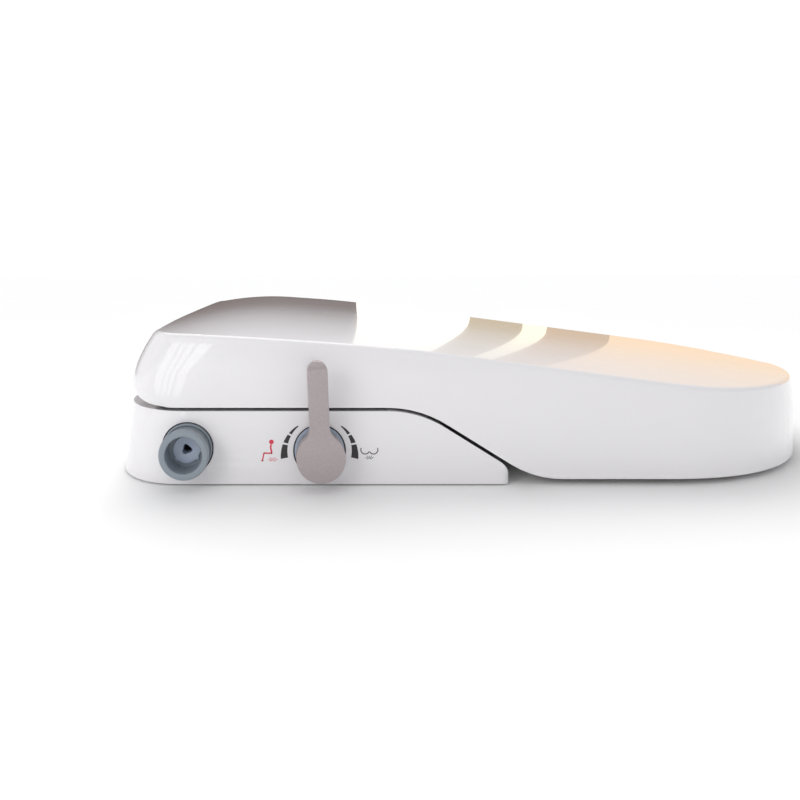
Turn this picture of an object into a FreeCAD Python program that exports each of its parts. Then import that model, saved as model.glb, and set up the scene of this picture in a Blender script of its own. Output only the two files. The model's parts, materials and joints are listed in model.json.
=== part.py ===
import FreeCAD, Part
import math
import os
from FreeCAD import Vector

# Water-powered bidet seat: base with lever valve and two nozzles, seat ring and lid on one hinge line.
# Frame: origin midway between the two bowl bolts on the plane of the bowl rim, +X to the front of the
# seat, +Z up, the lever and the water inlet on the -Y side. Millimetres.

# ---- overall ----
HALF_WIDTH = 185.0          # base, seat and lid share this half width
BASE_REAR_X = -75.0         # rear wall at the rim plane
BASE_HEIGHT = 44.0          # top of the base
ARM_FRONT_X = 163.0         # nose of the two side arms of the base
ARM_CORNER_R = 5.0          # corners of each arm in plan
ARM_INNER_Y = 125.0         # inner side of the arms
FRONT_WALL_X = 69.0         # front face of the nozzle housing between the arms
REAR_CORNER_R = 40.0
REAR_DRAFT = 5.5            # how far the rear wall leans in towards its top
BASE_WALL = 2.5
SHOULDER_X = 90.0           # where the top of the arms starts to fall
SHOULDER_R = 64.5
SLOPE_DEG = 31.8            # fall of the arms in front of the shoulder
NOSE_R = 14.0
PAD_PROUD = 1.0             # the bottom cover stands this far off the rim
COVER_T = 2.5
FIT = 0.2                   # gap round a plate or part seated in another
SEAT_FIT = 0.05             # radial gap of a part seated in a round hole
RUN = 0.05                  # radial clearance of every running pair
PAD_L = 34.0                # anti-slip pads
PAD_SUNK = 0.8

# ---- hinge line ----
HINGE_X = -50.0
HINGE_R = 14.0              # the lid wraps round the hinge line at this radius
LID_GAP = 2.0               # between the base and the lid's lower edge
HINGE_Z = BASE_HEIGHT + LID_GAP + HINGE_R
POST_R = 10.4
POST_IN_Y = 100.0           # inboard face of each hinge post
POST_W = 30.0
EAR_GAP = 0.5
EAR_W = 11.0
DAMPER_R = 8.0
DAMPER_LEN = 22.0
SHAFT_R = 4.0
SHAFT_FLAT = 1.0
PIN_R = 3.0

# ---- lid ----
LID_FRONT_X = 430.0
FRONT_CURVE_X = 260.0       # the sides run parallel up to here
LID_CORNER_R = 15.0
LID_WALL = 3.0
LID_EDGE_Z = 4.0            # lower edge of the lid in front of the base
LID_BEND_X = 90.0
LID_BEND_Z = 81.1
REAR_SLOPE = 0.065
FRONT_SLOPE = 0.13
BEND_SOFT = 14.0
CROWN = 15.5                # the middle of the lid stands above its side edges
CROWN_START_X = -56.0
CROWN_RISE = 90.0
LID_REAR_TOP_X = -52.0
LID_REAR_TOP_Z = 90.5
HOLLOW_R = 57.0             # concave sweep from the arm slope to the level front edge

# ---- seat ----
SEAT_GAP = 5.0              # between the seat's outer side and the inside of the lid
SEAT_BASE_GAP = 3.0         # between the seat and the base under it
SEAT_UNDER_Z = 6.0          # underside of the ring in front of the base, on the bumpers
SEAT_REAR_X = -34.0
SEAT_DROP = 15.5            # seat top below the lid's side edge line
SEAT_WALL = 3.0
OPENING_X = 222.0
OPENING_LEN = 134.0
OPENING_W = 108.0
BUMPER_L = 30.0
BUMPER_W = 14.0
SEAT_PLATE_T = 2.5
LID_BUMPER_XS = (110.0, 330.0)
LID_BUMPER_R = 7.0
LID_BUMPER_H = 5.0
BUMPER_GAP = 0.4            # between the lid's bumpers and the seat

# ---- lever and valve ----
LEVER_X = 49.8
LEVER_Z = 20.7
HUB_R = 14.0
HUB_PROUD = 14.0
HUB_GAP = 0.6
ARM_LEN = 56.0              # hub centre to the tip of the lever
ARM_W = 11.2
ARM_T = 7.6
LEVER_REST_DEG = 2.8        # the lever leans this far to the rear when it is off
ARM_LEAN = 8.0              # the tip stands this much further out than the hub
FLARE_R = 12.0
BEZEL_R = 15.6
SPINDLE_R = 5.0
VALVE_R = 14.0
VALVE_CAVITY_R = 11.0
VALVE_END_Y = -132.0
DISC_T = 4.0
OUTLET_X = 6.0               # the two outlets sit off the lever's axis by these amounts
OUTLET_Z = 5.4
PORT_R = 2.2
SPIGOT_R = 3.0
VALVE_FLOOR_Y = -152.0
FEED_X = -6.5               # the feed hole sits off the lever's axis by this

# ---- water inlet ----
INLET_X = -28.2
INLET_Z = 22.1
SOCKET_R = 13.85
SOCKET_BORE_R = 10.5
SOCKET_BORE_DEPTH = 12.0
INLET_PROUD = 13.5
INLET_HOLE_R = SOCKET_R + 1.65
CARTRIDGE_R = 9.0
CARTRIDGE_LEN = 15.0
ELBOW_R = 13.0
ELBOW_END_Y = -130.0
PIPE_Y = -140.0
TAIL_Y = -158.0
ELBOW_Y = -168.0

# ---- mounting bracket ----
BOLT_SPACING = 155.0
SLOT_LEN = 40.0
SLOT_R = 4.25
BRACKET_LEN = 212.0
BRACKET_W = 45.0
BRACKET_T = 5.0
BRACKET_H = 9.0
RAIL_W = 4.0

# ---- nozzles ----
NOZZLE_TILT = 18.0
NOZZLE_REAR_X = -14.0
NOZZLE_REAR_Z = 33.0
NOZZLE_PITCH = 19.0
BARREL_R = 7.0
BARREL_BORE_R = 5.6
BARREL_LEN = 62.0
GLAND_LEN = 6.0
END_WALL = 3.0
PISTON_LEN = 8.0
TUBE_R = 4.2
SEAL_GROOVE = 1.2
SEAL_R = 0.55
TUBE_BORE_R = 2.4
TIP_R = 4.8
TIP_LEN = 10.0
NOZZLE_LEN = 84.0
GUARD_HALF_W = 21.0
GUARD_T = 2.4
GUARD_PIN_Z = 31.0
GUARD_PIN_R = 1.5
GUARD_BARREL_R = 2.5
CRADLE_HALF_W = 24.0
CRADLE_FRONT_X = 48.0
STRAP_W = 12.0
STRAP_T = 3.0
HOSE_BEND = 14.0
TAIL_LEN = 8.0              # level spigot behind each barrel

# ---- release button ----
BUTTON_X = 0.0
BUTTON_Z = 14.5
BUTTON_L = 24.0
BUTTON_H = 11.0
BUTTON_PROUD = 4.6
ROD_R = 3.0
GUIDE_Y = 140.0
GUIDE_T = 6.0

# ---- springs and screws ----
WIRE_R = 0.4
LINK_R = 0.3
SCREW_R = 1.5
SCREW_HEAD_R = 3.2
SCREW_HEAD_T = 1.6
BOSS_R = 4.0
HOSE_WALL = 1.6
CLAMP_T = 0.7

X_AXIS = Vector(1, 0, 0)
Y_AXIS = Vector(0, 1, 0)
Z_AXIS = Vector(0, 0, 1)
COVER_TOP_Z = PAD_PROUD + COVER_T
CEILING_Z = BASE_HEIGHT - BASE_WALL
SIDES = (-1, 1)


def save(name, shape):
    solids = shape.Solids
    if not solids or not shape.isValid():
        raise RuntimeError(name + " is not a valid solid")
    shape.exportStep("parts/" + name + ".step")


def in_xy(a, b):
    return Vector(a, b, 0)


def in_xz(a, b):
    return Vector(a, 0, b)


def in_yz(a, b):
    return Vector(0, a, b)


def corner_path(corners, place):
    """Closed wire through corners (a, b, radius), each corner rounded by a tangent arc."""
    count = len(corners)
    stops = []
    for i in range(count):
        a, b, r = corners[i]
        here = Vector(a, b, 0)
        to_prev = Vector(corners[i - 1][0] - a, corners[i - 1][1] - b, 0).normalize()
        following = corners[(i + 1) % count]
        to_next = Vector(following[0] - a, following[1] - b, 0).normalize()
        if r == 0:
            stops.append((here, None, here))
            continue
        half = to_prev.getAngle(to_next) / 2
        reach = r / math.tan(half)
        inward = (to_prev + to_next).normalize()
        centre = here + inward * (r / math.sin(half))
        middle = centre - inward * r
        stops.append((here + to_prev * reach, middle, here + to_next * reach))
    edges = []
    for i in range(count):
        start, middle, end = stops[i]
        if middle is not None:
            arc = Part.Arc(place(start.x, start.y), place(middle.x, middle.y), place(end.x, end.y))
            edges.append(arc.toShape())
        after = stops[(i + 1) % count][0]
        if (after - end).Length > 1e-6:
            edges.append(Part.makeLine(place(end.x, end.y), place(after.x, after.y)))
    return Part.Wire(edges)


def slab(wire, direction):
    return Part.Face(wire).extrude(direction)


def plan_slab(wire, z0, z1):
    solid = slab(wire, Vector(0, 0, z1 - z0))
    solid.translate(Vector(0, 0, z0))
    return solid


def side_slab(corners, y0, y1):
    """A side outline in X and Z, extruded across Y."""
    solid = slab(corner_path(corners, in_xz), Vector(0, y1 - y0, 0))
    solid.translate(Vector(0, y0, 0))
    return solid


def box(x0, x1, y0, y1, z0, z1):
    return Part.makeBox(x1 - x0, y1 - y0, z1 - z0, Vector(x0, y0, z0))


def rod_y(x, z, r, y0, y1):
    return Part.makeCylinder(r, y1 - y0, Vector(x, y0, z), Y_AXIS)


def rod_z(x, y, r, z0, z1):
    return Part.makeCylinder(r, z1 - z0, Vector(x, y, z0), Z_AXIS)


def ring_y(x, z, outer, inner, y0, y1):
    return rod_y(x, z, outer, y0, y1).cut(rod_y(x, z, inner, y0 - 1, y1 + 1))


def group(shapes):
    return Part.makeCompound(shapes)


def mirrored(shape):
    return shape.mirror(Vector(0, 0, 0), Y_AXIS)


# ---------------------------------------------------------------- outlines shared by base, seat and lid

SPAN = HALF_WIDTH + 20.0    # cutting slabs reach past the sides
FAR_X = LID_FRONT_X + 20.0
SLOPE = math.radians(SLOPE_DEG)


def stepped_edge(gap, floor_z, rise_to, rear_x):
    """Region above the line that clears the base by gap, falls in front of it and runs level at floor_z."""
    centre_z = BASE_HEIGHT - SHOULDER_R
    r = SHOULDER_R + gap
    apex_x = SHOULDER_X + r * math.tan(SLOPE / 2)
    apex_z = centre_z + r
    foot_x = apex_x + (apex_z - floor_z) / math.tan(SLOPE)
    return [
        (rear_x, apex_z, 0),
        (apex_x, apex_z, r),
        (foot_x, floor_z, HOLLOW_R),
        (FAR_X, floor_z, 0),
        (FAR_X, rise_to, 0),
        (rear_x, rise_to, 0),
    ]


def half_oval(cx, reach, half_w):
    """Half ellipse from -Y to +Y, bulging to +X."""
    unit = Part.Arc(Vector(0, -1, 0), Vector(1, 0, 0), Vector(0, 1, 0)).toShape()
    matrix = FreeCAD.Matrix(reach, 0, 0, cx, 0, half_w, 0, 0, 0, 0, 1, 0, 0, 0, 0, 1)
    return unit.transformGeometry(matrix)


def seat_outline(inset, rear_x, corner_r):
    """Plan outline of lid or seat: square rear, parallel sides and an oval front."""
    w = HALF_WIDTH - inset
    reach = LID_FRONT_X - FRONT_CURVE_X - inset
    k = corner_r * (1 - math.sqrt(0.5))
    edges = [half_oval(FRONT_CURVE_X, reach, w)]
    edges.append(Part.makeLine(Vector(FRONT_CURVE_X, w, 0), Vector(rear_x + corner_r, w, 0)))
    edges.append(Part.Arc(Vector(rear_x + corner_r, w, 0), Vector(rear_x + k, w - k, 0),
                          Vector(rear_x, w - corner_r, 0)).toShape())
    edges.append(Part.makeLine(Vector(rear_x, w - corner_r, 0), Vector(rear_x, corner_r - w, 0)))
    edges.append(Part.Arc(Vector(rear_x, corner_r - w, 0), Vector(rear_x + k, k - w, 0),
                          Vector(rear_x + corner_r, -w, 0)).toShape())
    edges.append(Part.makeLine(Vector(rear_x + corner_r, -w, 0), Vector(FRONT_CURVE_X, -w, 0)))
    return Part.Wire(edges)


def edge_height(x):
    """Height of the lid's top edge along its sides: two straight runs joined by a soft bend."""
    along = x - LID_BEND_X
    bend = BEND_SOFT * math.log(1 + math.exp(along / BEND_SOFT))
    return LID_BEND_Z - REAR_SLOPE * along - (FRONT_SLOPE - REAR_SLOPE) * bend


def lid_height(x, y):
    rise = min(1.0, (x - CROWN_START_X) / CROWN_RISE)
    swell = 1 - (1 - rise) ** 2
    across = abs(y) / HALF_WIDTH
    return edge_height(x) + CROWN * swell * (1 - across ** 4)


def under_surface(height, drop, x0):
    """Everything under a height field, as a solid reaching well below the object."""
    rows = []
    for i in range(29):
        x = x0 + (FAR_X - x0) * i / 28
        rows.append([Vector(x, SPAN * j / 8, height(x, SPAN * j / 8) - drop) for j in range(-8, 9)])
    surface = Part.BSplineSurface()
    surface.interpolate(rows)
    return surface.toShape().extrude(Vector(0, 0, -300))


# ---------------------------------------------------------------- base

def base_outline(inset, rear_inset=0.0, z=0.0):
    r_out = REAR_CORNER_R - inset
    rear = BASE_REAR_X + inset + rear_inset
    w = HALF_WIDTH - inset
    inner = ARM_INNER_Y + inset
    wall = FRONT_WALL_X - inset
    nose = ARM_FRONT_X - inset
    corners = [
        (rear, -w, r_out),
        (nose, -w, ARM_CORNER_R - inset),
        (nose, -inner, ARM_CORNER_R - inset),
        (wall, -inner, 20.0 + inset),
        (wall, inner, 20.0 + inset),
        (nose, inner, ARM_CORNER_R - inset),
        (nose, w, ARM_CORNER_R - inset),
        (rear, w, r_out),
    ]
    wire = corner_path(corners, in_xy)
    wire.translate(Vector(0, 0, z))
    return wire


def arm_profile(inset, top, bottom):
    """Side outline of the base: flat top, shoulder, slope and rounded nose."""
    r = SHOULDER_R - inset
    apex_x = SHOULDER_X + r * math.tan(SLOPE / 2)
    nose = ARM_FRONT_X - inset
    nose_z = top - (nose - apex_x) * math.tan(SLOPE)
    return [
        (BASE_REAR_X - 10, bottom, 0), (BASE_REAR_X - 10, top, 0), (apex_x, top, r),
        (nose, nose_z, NOSE_R - inset), (nose, bottom, 0),
    ]


def base_block(inset, bottom, top):
    lower = base_outline(inset, 0.0, bottom)
    upper = base_outline(inset, REAR_DRAFT, top)
    body = Part.makeLoft([lower, upper], True, True)
    return body.common(side_slab(arm_profile(inset, top, bottom), -SPAN, SPAN))


def boss_places():
    near = HALF_WIDTH - 35.0
    return [(x, s * y) for s in SIDES for x, y in
            ((BASE_REAR_X + 19, near + 8), (SHOULDER_X + 20, near), (FRONT_WALL_X - 11, GUARD_HALF_W + 27))]


def nozzle_place(shape, y):
    """Moves a shape built along +X from the origin onto a nozzle's sloping axis."""
    placed = shape.copy()
    placed.rotate(Vector(0, 0, 0), Y_AXIS, NOZZLE_TILT)
    placed.translate(Vector(NOZZLE_REAR_X, y, NOZZLE_REAR_Z))
    return placed


def rod_x(r, u0, u1):
    return Part.makeCylinder(r, u1 - u0, Vector(u0, 0, 0), X_AXIS)


NOZZLE_YS = (-NOZZLE_PITCH / 2, NOZZLE_PITCH / 2)
GUARD_X = FRONT_WALL_X - 3.5            # hinge pin of the guard
GUARD_TOP_Z = GUARD_PIN_Z + 5.0


def base_housing():
    shell = base_block(0.0, PAD_PROUD, BASE_HEIGHT)
    cavity = base_block(BASE_WALL, PAD_PROUD - 1.0, CEILING_Z)
    solid = shell.cut(cavity)
    bosses = [rod_z(x, y, BOSS_R, COVER_TOP_Z, CEILING_Z) for x, y in boss_places()]
    solid = solid.fuse([b.common(cavity) for b in bosses])
    for x, y in boss_places():
        solid = solid.cut(rod_z(x, y, SCREW_R + SEAT_FIT, 0, COVER_TOP_Z + 12))
    for s in SIDES:
        y0, y1 = sorted((s * (GUARD_HALF_W + 0.6), s * (GUARD_HALF_W + 5)))
        solid = solid.fuse(box(FRONT_WALL_X - 8, FRONT_WALL_X - BASE_WALL + 0.1, y0, y1,
                               GUARD_PIN_Z - 4.5, GUARD_PIN_Z + 4.5))
    window = box(FRONT_WALL_X - BASE_WALL - 1, FRONT_WALL_X + 1, -GUARD_HALF_W - 0.6, GUARD_HALF_W + 0.6,
                 -1, GUARD_TOP_Z)
    solid = solid.cut(window)
    solid = solid.cut(rod_y(GUARD_X, GUARD_PIN_Z, GUARD_PIN_R + RUN, -GUARD_HALF_W - 3.6, GUARD_HALF_W + 3.6))
    solid = solid.cut(rod_y(LEVER_X, LEVER_Z, BEZEL_R, -SPAN, -HALF_WIDTH + BASE_WALL + 2))
    solid = solid.cut(rod_y(INLET_X, INLET_Z, INLET_HOLE_R, -SPAN, -HALF_WIDTH + BASE_WALL + 2))
    solid = solid.cut(box(BUTTON_X - BUTTON_L / 2 - FIT, BUTTON_X + BUTTON_L / 2 + FIT,
                          HALF_WIDTH - BASE_WALL - 3, SPAN,
                          BUTTON_Z - BUTTON_H / 2 - FIT, BUTTON_Z + BUTTON_H / 2 + FIT))
    for x, y in post_screw_places():
        solid = solid.cut(rod_z(x, y, SCREW_R + 0.4, CEILING_Z - 1, BASE_HEIGHT + 1))
    return solid.removeSplitter()


POCKET_TOP_Z = BRACKET_H + COVER_T


def bottom_cover():
    lean = REAR_DRAFT * COVER_TOP_Z / BASE_HEIGHT
    plate = plan_slab(base_outline(BASE_WALL + FIT, lean), PAD_PROUD, COVER_TOP_Z)
    half_w = BRACKET_W / 2 + FIT
    half_l = BRACKET_LEN / 2 + FIT
    tray_w, tray_l = half_w + COVER_T, half_l + COVER_T
    tray = box(-tray_w, tray_w, -tray_l, tray_l, PAD_PROUD, POCKET_TOP_Z)
    solid = plate.fuse(tray)
    saddle_z = LEVER_Z - VALVE_R / 2
    saddle_half = VALVE_R * 0.8
    saddle = box(LEVER_X - saddle_half, LEVER_X + saddle_half, -166, -160, COVER_TOP_Z - 1, saddle_z)
    solid = solid.fuse(saddle)
    solid = solid.fuse(box(BUTTON_X - 7, BUTTON_X + 7, GUIDE_Y, GUIDE_Y + GUIDE_T,
                           COVER_TOP_Z - 1, BUTTON_Z + ROD_R + 4))
    solid = solid.cut(rod_y(LEVER_X, LEVER_Z, VALVE_R + SEAT_FIT, -170, VALVE_END_Y))
    solid = solid.cut(rod_y(BUTTON_X, BUTTON_Z, ROD_R + RUN, GUIDE_Y - 1, GUIDE_Y + GUIDE_T + 1))
    solid = solid.cut(box(-half_w, half_w, -half_l, half_l, -1, BRACKET_H))
    solid = solid.cut(box(CRADLE_FRONT_X + 1, FRONT_WALL_X, -GUARD_HALF_W - 0.6, GUARD_HALF_W + 0.6,
                          -1, COVER_TOP_Z + 1))
    for x, y in boss_places():
        solid = solid.cut(rod_z(x, y, SCREW_R + 0.3, -1, COVER_TOP_Z + 1))
        solid = solid.cut(rod_z(x, y, SCREW_HEAD_R + 0.3, -1, PAD_PROUD + SCREW_HEAD_T))
    for x, y in pad_places():
        solid = solid.cut(pad_block(x, y, PAD_L + 2 * FIT, -1, PAD_PROUD + PAD_SUNK))
    for x, y in cradle_screw_places():
        solid = solid.cut(rod_z(x, y, SCREW_R + SEAT_FIT, COVER_TOP_Z - 2, POCKET_TOP_Z + 1))
    return solid




def pad_places():
    return [(x, s * (ARM_INNER_Y + HALF_WIDTH) / 2) for s in SIDES for x in (-20.0, ARM_FRONT_X - 30.0)]


def pad_block(x, y, length, z0, z1):
    half = length / 2
    corners = [(x - half, y - half, 6.0), (x + half, y - half, 6.0), (x + half, y + half, 6.0),
               (x - half, y + half, 6.0)]
    return plan_slab(corner_path(corners, in_xy), z0, z1)


def anti_slip_pads():
    return group([pad_block(x, y, PAD_L, 0, PAD_PROUD + PAD_SUNK) for x, y in pad_places()])


def screw_up(x, y, z_head, z_tip):
    """Pan head screw that points up from z_head."""
    head = rod_z(x, y, SCREW_HEAD_R, z_head, z_head + SCREW_HEAD_T)
    return head.fuse(rod_z(x, y, SCREW_R, z_head + SCREW_HEAD_T - 0.2, z_tip)).removeSplitter()


def housing_screws():
    return group([screw_up(x, y, PAD_PROUD, COVER_TOP_Z + 10) for x, y in boss_places()])


def mounting_bracket():
    half_w = BRACKET_W / 2
    half_l = BRACKET_LEN / 2
    plate = box(-half_w, half_w, -half_l, half_l, 0, BRACKET_T)
    for s in SIDES:
        x0, x1 = sorted((s * half_w, s * (half_w - RAIL_W)))
        plate = plate.fuse(box(x0, x1, -half_l, half_l, 0, BRACKET_H))
    run = SLOT_LEN / 2 - SLOT_R
    for s in SIDES:
        y = s * BOLT_SPACING / 2
        for end in SIDES:
            plate = plate.cut(rod_z(0, y + end * run, SLOT_R, -1, BRACKET_T + 1))
        plate = plate.cut(box(-SLOT_R, SLOT_R, y - run, y + run, -1, BRACKET_T + 1))
    plate = plate.cut(box(-half_w + RAIL_W + 5, half_w - RAIL_W - 5, -32, 32, -1, BRACKET_T + 1))
    return plate.removeSplitter()


# ---------------------------------------------------------------- hinge

NECK_REAR_X = HINGE_X - 1.0
NECK_FRONT_X = HINGE_X + POST_R
POST_OUT_Y = POST_IN_Y + POST_W
SEAT_EAR_Y = (POST_IN_Y - EAR_GAP - EAR_W, POST_IN_Y - EAR_GAP)
LID_EAR_Y = (POST_OUT_Y + EAR_GAP, POST_OUT_Y + EAR_GAP + EAR_W)


def post_screw_places():
    x = (NECK_REAR_X + NECK_FRONT_X) / 2
    return [(x, s * y) for s in SIDES for y in (POST_IN_Y + 7, POST_OUT_Y - 7)]


def hinge_post(damper_inboard):
    """Post on the +Y side; the damper sits in the end that faces inboard or outboard."""
    solid = rod_y(HINGE_X, HINGE_Z, POST_R, POST_IN_Y, POST_OUT_Y)
    solid = solid.fuse(box(NECK_REAR_X, NECK_FRONT_X, POST_IN_Y, POST_OUT_Y, BASE_HEIGHT, HINGE_Z))
    solid = solid.removeSplitter()
    if damper_inboard:
        seat_end = (POST_IN_Y - 1, POST_IN_Y + DAMPER_LEN)
        pin_end = (POST_OUT_Y - 7, POST_OUT_Y + 1)
    else:
        seat_end = (POST_OUT_Y - DAMPER_LEN, POST_OUT_Y + 1)
        pin_end = (POST_IN_Y - 1, POST_IN_Y + 7)
    solid = solid.cut(rod_y(HINGE_X, HINGE_Z, DAMPER_R + SEAT_FIT, *seat_end))
    solid = solid.cut(rod_y(HINGE_X, HINGE_Z, PIN_R + SEAT_FIT, *pin_end))
    for x, y in post_screw_places()[2:]:
        solid = solid.cut(rod_z(x, y, SCREW_R + SEAT_FIT, BASE_HEIGHT - 1, BASE_HEIGHT + 6.2))
    return solid


def damper_body(inboard):
    y0, y1 = (POST_IN_Y, POST_IN_Y + DAMPER_LEN) if inboard else (POST_OUT_Y - DAMPER_LEN, POST_OUT_Y)
    solid = rod_y(HINGE_X, HINGE_Z, DAMPER_R, y0, y1)
    b0, b1 = (y0 - 1, y0 + 14) if inboard else (y1 - 14, y1 + 1)
    return solid.cut(rod_y(HINGE_X, HINGE_Z, SHAFT_R + RUN, b0, b1))


def damper_shaft(inboard):
    """Round in the damper, flattened where it drives the ear."""
    face = POST_IN_Y if inboard else POST_OUT_Y
    out = -1 if inboard else 1
    inner = face - out * 13.8
    end = face + out * (EAR_GAP + EAR_W - 0.5)
    y0, y1 = sorted((inner, end))
    solid = rod_y(HINGE_X, HINGE_Z, SHAFT_R, y0, y1)
    f0, f1 = sorted((face + out * EAR_GAP, end + out))
    flat_z, over_z = HINGE_Z + SHAFT_R - SHAFT_FLAT, HINGE_Z + SHAFT_R + 1
    flat = box(HINGE_X - SHAFT_R, HINGE_X + SHAFT_R, f0, f1, flat_z, over_z)
    return solid.cut(flat)


def ear_socket(face, out, flat):
    """Hole in an ear: flattened for a damper shaft, round for a pivot pin."""
    y0, y1 = sorted((face, face + out * (EAR_GAP + EAR_W - 0.5 + 0.1)))
    if not flat:
        return rod_y(HINGE_X, HINGE_Z, PIN_R + RUN, y0, y1)
    hole = rod_y(HINGE_X, HINGE_Z, SHAFT_R + SEAT_FIT, y0, y1)
    top = HINGE_Z + SHAFT_R - SHAFT_FLAT + SEAT_FIT
    return hole.cut(box(HINGE_X - 6, HINGE_X + 6, y0 - 1, y1 + 1, top, top + 5))


def pivot_pin(outboard):
    """Plain pin pressed in the end of a post that has no damper, on the +Y side."""
    if outboard:
        return rod_y(HINGE_X, HINGE_Z, PIN_R, POST_OUT_Y - 7, POST_OUT_Y + EAR_GAP + EAR_W - 0.5)
    return rod_y(HINGE_X, HINGE_Z, PIN_R, POST_IN_Y - EAR_GAP - EAR_W + 0.5, POST_IN_Y + 7)


# ---------------------------------------------------------------- lid

LID_REAR_X = HINGE_X - HINGE_R


def rear_profile(inset, floor_z, rear_x, gap):
    """Side outline of the lid: stepped lower edge, rear rounding about the hinge and leaning rear wall."""
    corners = stepped_edge(gap, floor_z, 130.0, rear_x)
    lean = (LID_REAR_TOP_X - LID_REAR_X) / (LID_REAR_TOP_Z - HINGE_Z)
    top_x = LID_REAR_X + inset + lean * (130.0 - HINGE_Z)
    low = corners[0][1]
    corners[0] = (rear_x, low, HINGE_Z - low)
    corners[-1] = (top_x, 130.0, 0)
    corners.append((rear_x, HINGE_Z + 0.01, 0))
    return corners


def lid_block(inset):
    """Outer form of the lid, or the hollow inside it when inset is the wall."""
    outline = plan_slab(seat_outline(inset, LID_REAR_X + inset, LID_CORNER_R - inset), -5, 130)
    solid = outline.common(under_surface(lid_height, inset, -100.0))
    if inset:
        profile = rear_profile(inset, -20.0, LID_REAR_X + inset, LID_GAP + inset)
        hollow = solid.common(side_slab(profile, -SPAN, SPAN))
        below = solid.common(side_slab(
            stepped_edge(LID_GAP - 30, -20.0, HINGE_Z, HINGE_X), -SPAN, SPAN))
        return hollow.fuse(below)
    return solid.common(side_slab(rear_profile(0.0, LID_EDGE_Z, LID_REAR_X, LID_GAP), -SPAN, SPAN))


def lid_ear(s):
    y0, y1 = sorted((s * LID_EAR_Y[0], s * LID_EAR_Y[1]))
    ear = rod_y(HINGE_X, HINGE_Z, HINGE_R - 2.0, y0, y1)
    ear = ear.fuse(box(HINGE_X - HINGE_R, HINGE_X + HINGE_R - 2.0, y0, y1, HINGE_Z, LID_REAR_TOP_Z))
    return ear


def lid_shell(outer, hollow):
    shell = outer.cut(hollow)
    for s in SIDES:
        shell = shell.fuse(lid_ear(s).common(outer))
    for x, y in lid_bumper_places():
        boss = rod_z(x, y, LID_BUMPER_R - 1, bumper_foot(x) + LID_BUMPER_H, 130)
        shell = shell.fuse(boss.common(hollow))
    for s in SIDES:
        y0, y1 = sorted((s * (SEAT_EAR_Y[0] - 1.0), s * (POST_OUT_Y + EAR_GAP)))
        notch = box(LID_REAR_X - 5, HINGE_X + HINGE_R, y0, y1, BASE_HEIGHT - 5, HINGE_Z + 7)
        shell = shell.cut(notch)
        shell = shell.cut(ear_socket(s * POST_OUT_Y, s, s > 0))
    return shell.removeSplitter()




def lid_bumper_places():
    places = []
    for x in LID_BUMPER_XS:
        y = ring_middle_y(x)
        places += [(x, -y), (x, y)]
    return places


def ring_middle_y(x):
    """Half way between the seat's opening and its outer side, at this X."""
    outer = HALF_WIDTH - LID_WALL - SEAT_GAP
    if x > FRONT_CURVE_X:
        reach = LID_FRONT_X - FRONT_CURVE_X - LID_WALL - SEAT_GAP
        outer *= math.sqrt(1 - ((x - FRONT_CURVE_X) / reach) ** 2)
    share = max(0.0, 1 - ((x - OPENING_X) / OPENING_LEN) ** 2)
    return (outer + OPENING_W * math.sqrt(share)) / 2


def bumper_foot(x):
    """Level of a lid bumper's lower end, just above the highest seat surface under it."""
    return edge_height(x - LID_BUMPER_R) - SEAT_DROP + BUMPER_GAP


def lid_bumpers():
    return group([rod_z(x, y, LID_BUMPER_R, bumper_foot(x), bumper_foot(x) + LID_BUMPER_H)
                  for x, y in lid_bumper_places()])


# ---------------------------------------------------------------- seat

def seat_height(x, y):
    return edge_height(x) - SEAT_DROP


def ring_opening(inset, z0, z1):
    unit = Part.makeCircle(1.0)
    matrix = FreeCAD.Matrix(OPENING_LEN + inset, 0, 0, OPENING_X, 0, OPENING_W + inset, 0, 0,
                            0, 0, 1, 0, 0, 0, 0, 1)
    return plan_slab(Part.Wire(unit.transformGeometry(matrix)), z0, z1)


def seat_block(inset, lower_inset):
    side = LID_WALL + SEAT_GAP + inset
    outline = plan_slab(seat_outline(side, SEAT_REAR_X + inset, 14.0), 0, 130)
    outline = outline.cut(ring_opening(inset, -1, 131))
    solid = outline.common(under_surface(seat_height, inset, SEAT_REAR_X - 40))
    profile = stepped_edge(SEAT_BASE_GAP + lower_inset, SEAT_UNDER_Z + lower_inset, 130, SEAT_REAR_X - 10)
    return solid.common(side_slab(profile, -SPAN, SPAN))




def seat_screw_places():
    return [(x, s * ring_middle_y(x)) for s in SIDES for x in (20.0, 235.0, 345.0)]


def seat_floor(x):
    return BASE_HEIGHT + SEAT_BASE_GAP if x < SHOULDER_X else SEAT_UNDER_Z


def seat_ear(s):
    y0, y1 = sorted((s * SEAT_EAR_Y[0], s * SEAT_EAR_Y[1]))
    ear = rod_y(HINGE_X, HINGE_Z, POST_R, y0, y1)
    arm = box(HINGE_X, SEAT_REAR_X + 2, y0, y1, HINGE_Z - POST_R, HINGE_Z + 8)
    return ear.fuse(arm)


def seat_top_shell(form):
    hollow = seat_block(SEAT_WALL, -20.0)
    shell = form.cut(hollow)
    for x, y in seat_screw_places():
        top = seat_floor(x) + SEAT_PLATE_T
        boss = rod_z(x, y, BOSS_R, top, 130).common(hollow)
        shell = shell.fuse(boss).cut(rod_z(x, y, SCREW_R + SEAT_FIT, 0, top + 10))
    for s in SIDES:
        shell = shell.fuse(seat_ear(s))
        shell = shell.cut(ear_socket(s * POST_IN_Y, -s, s < 0))
    return shell.removeSplitter()


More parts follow.
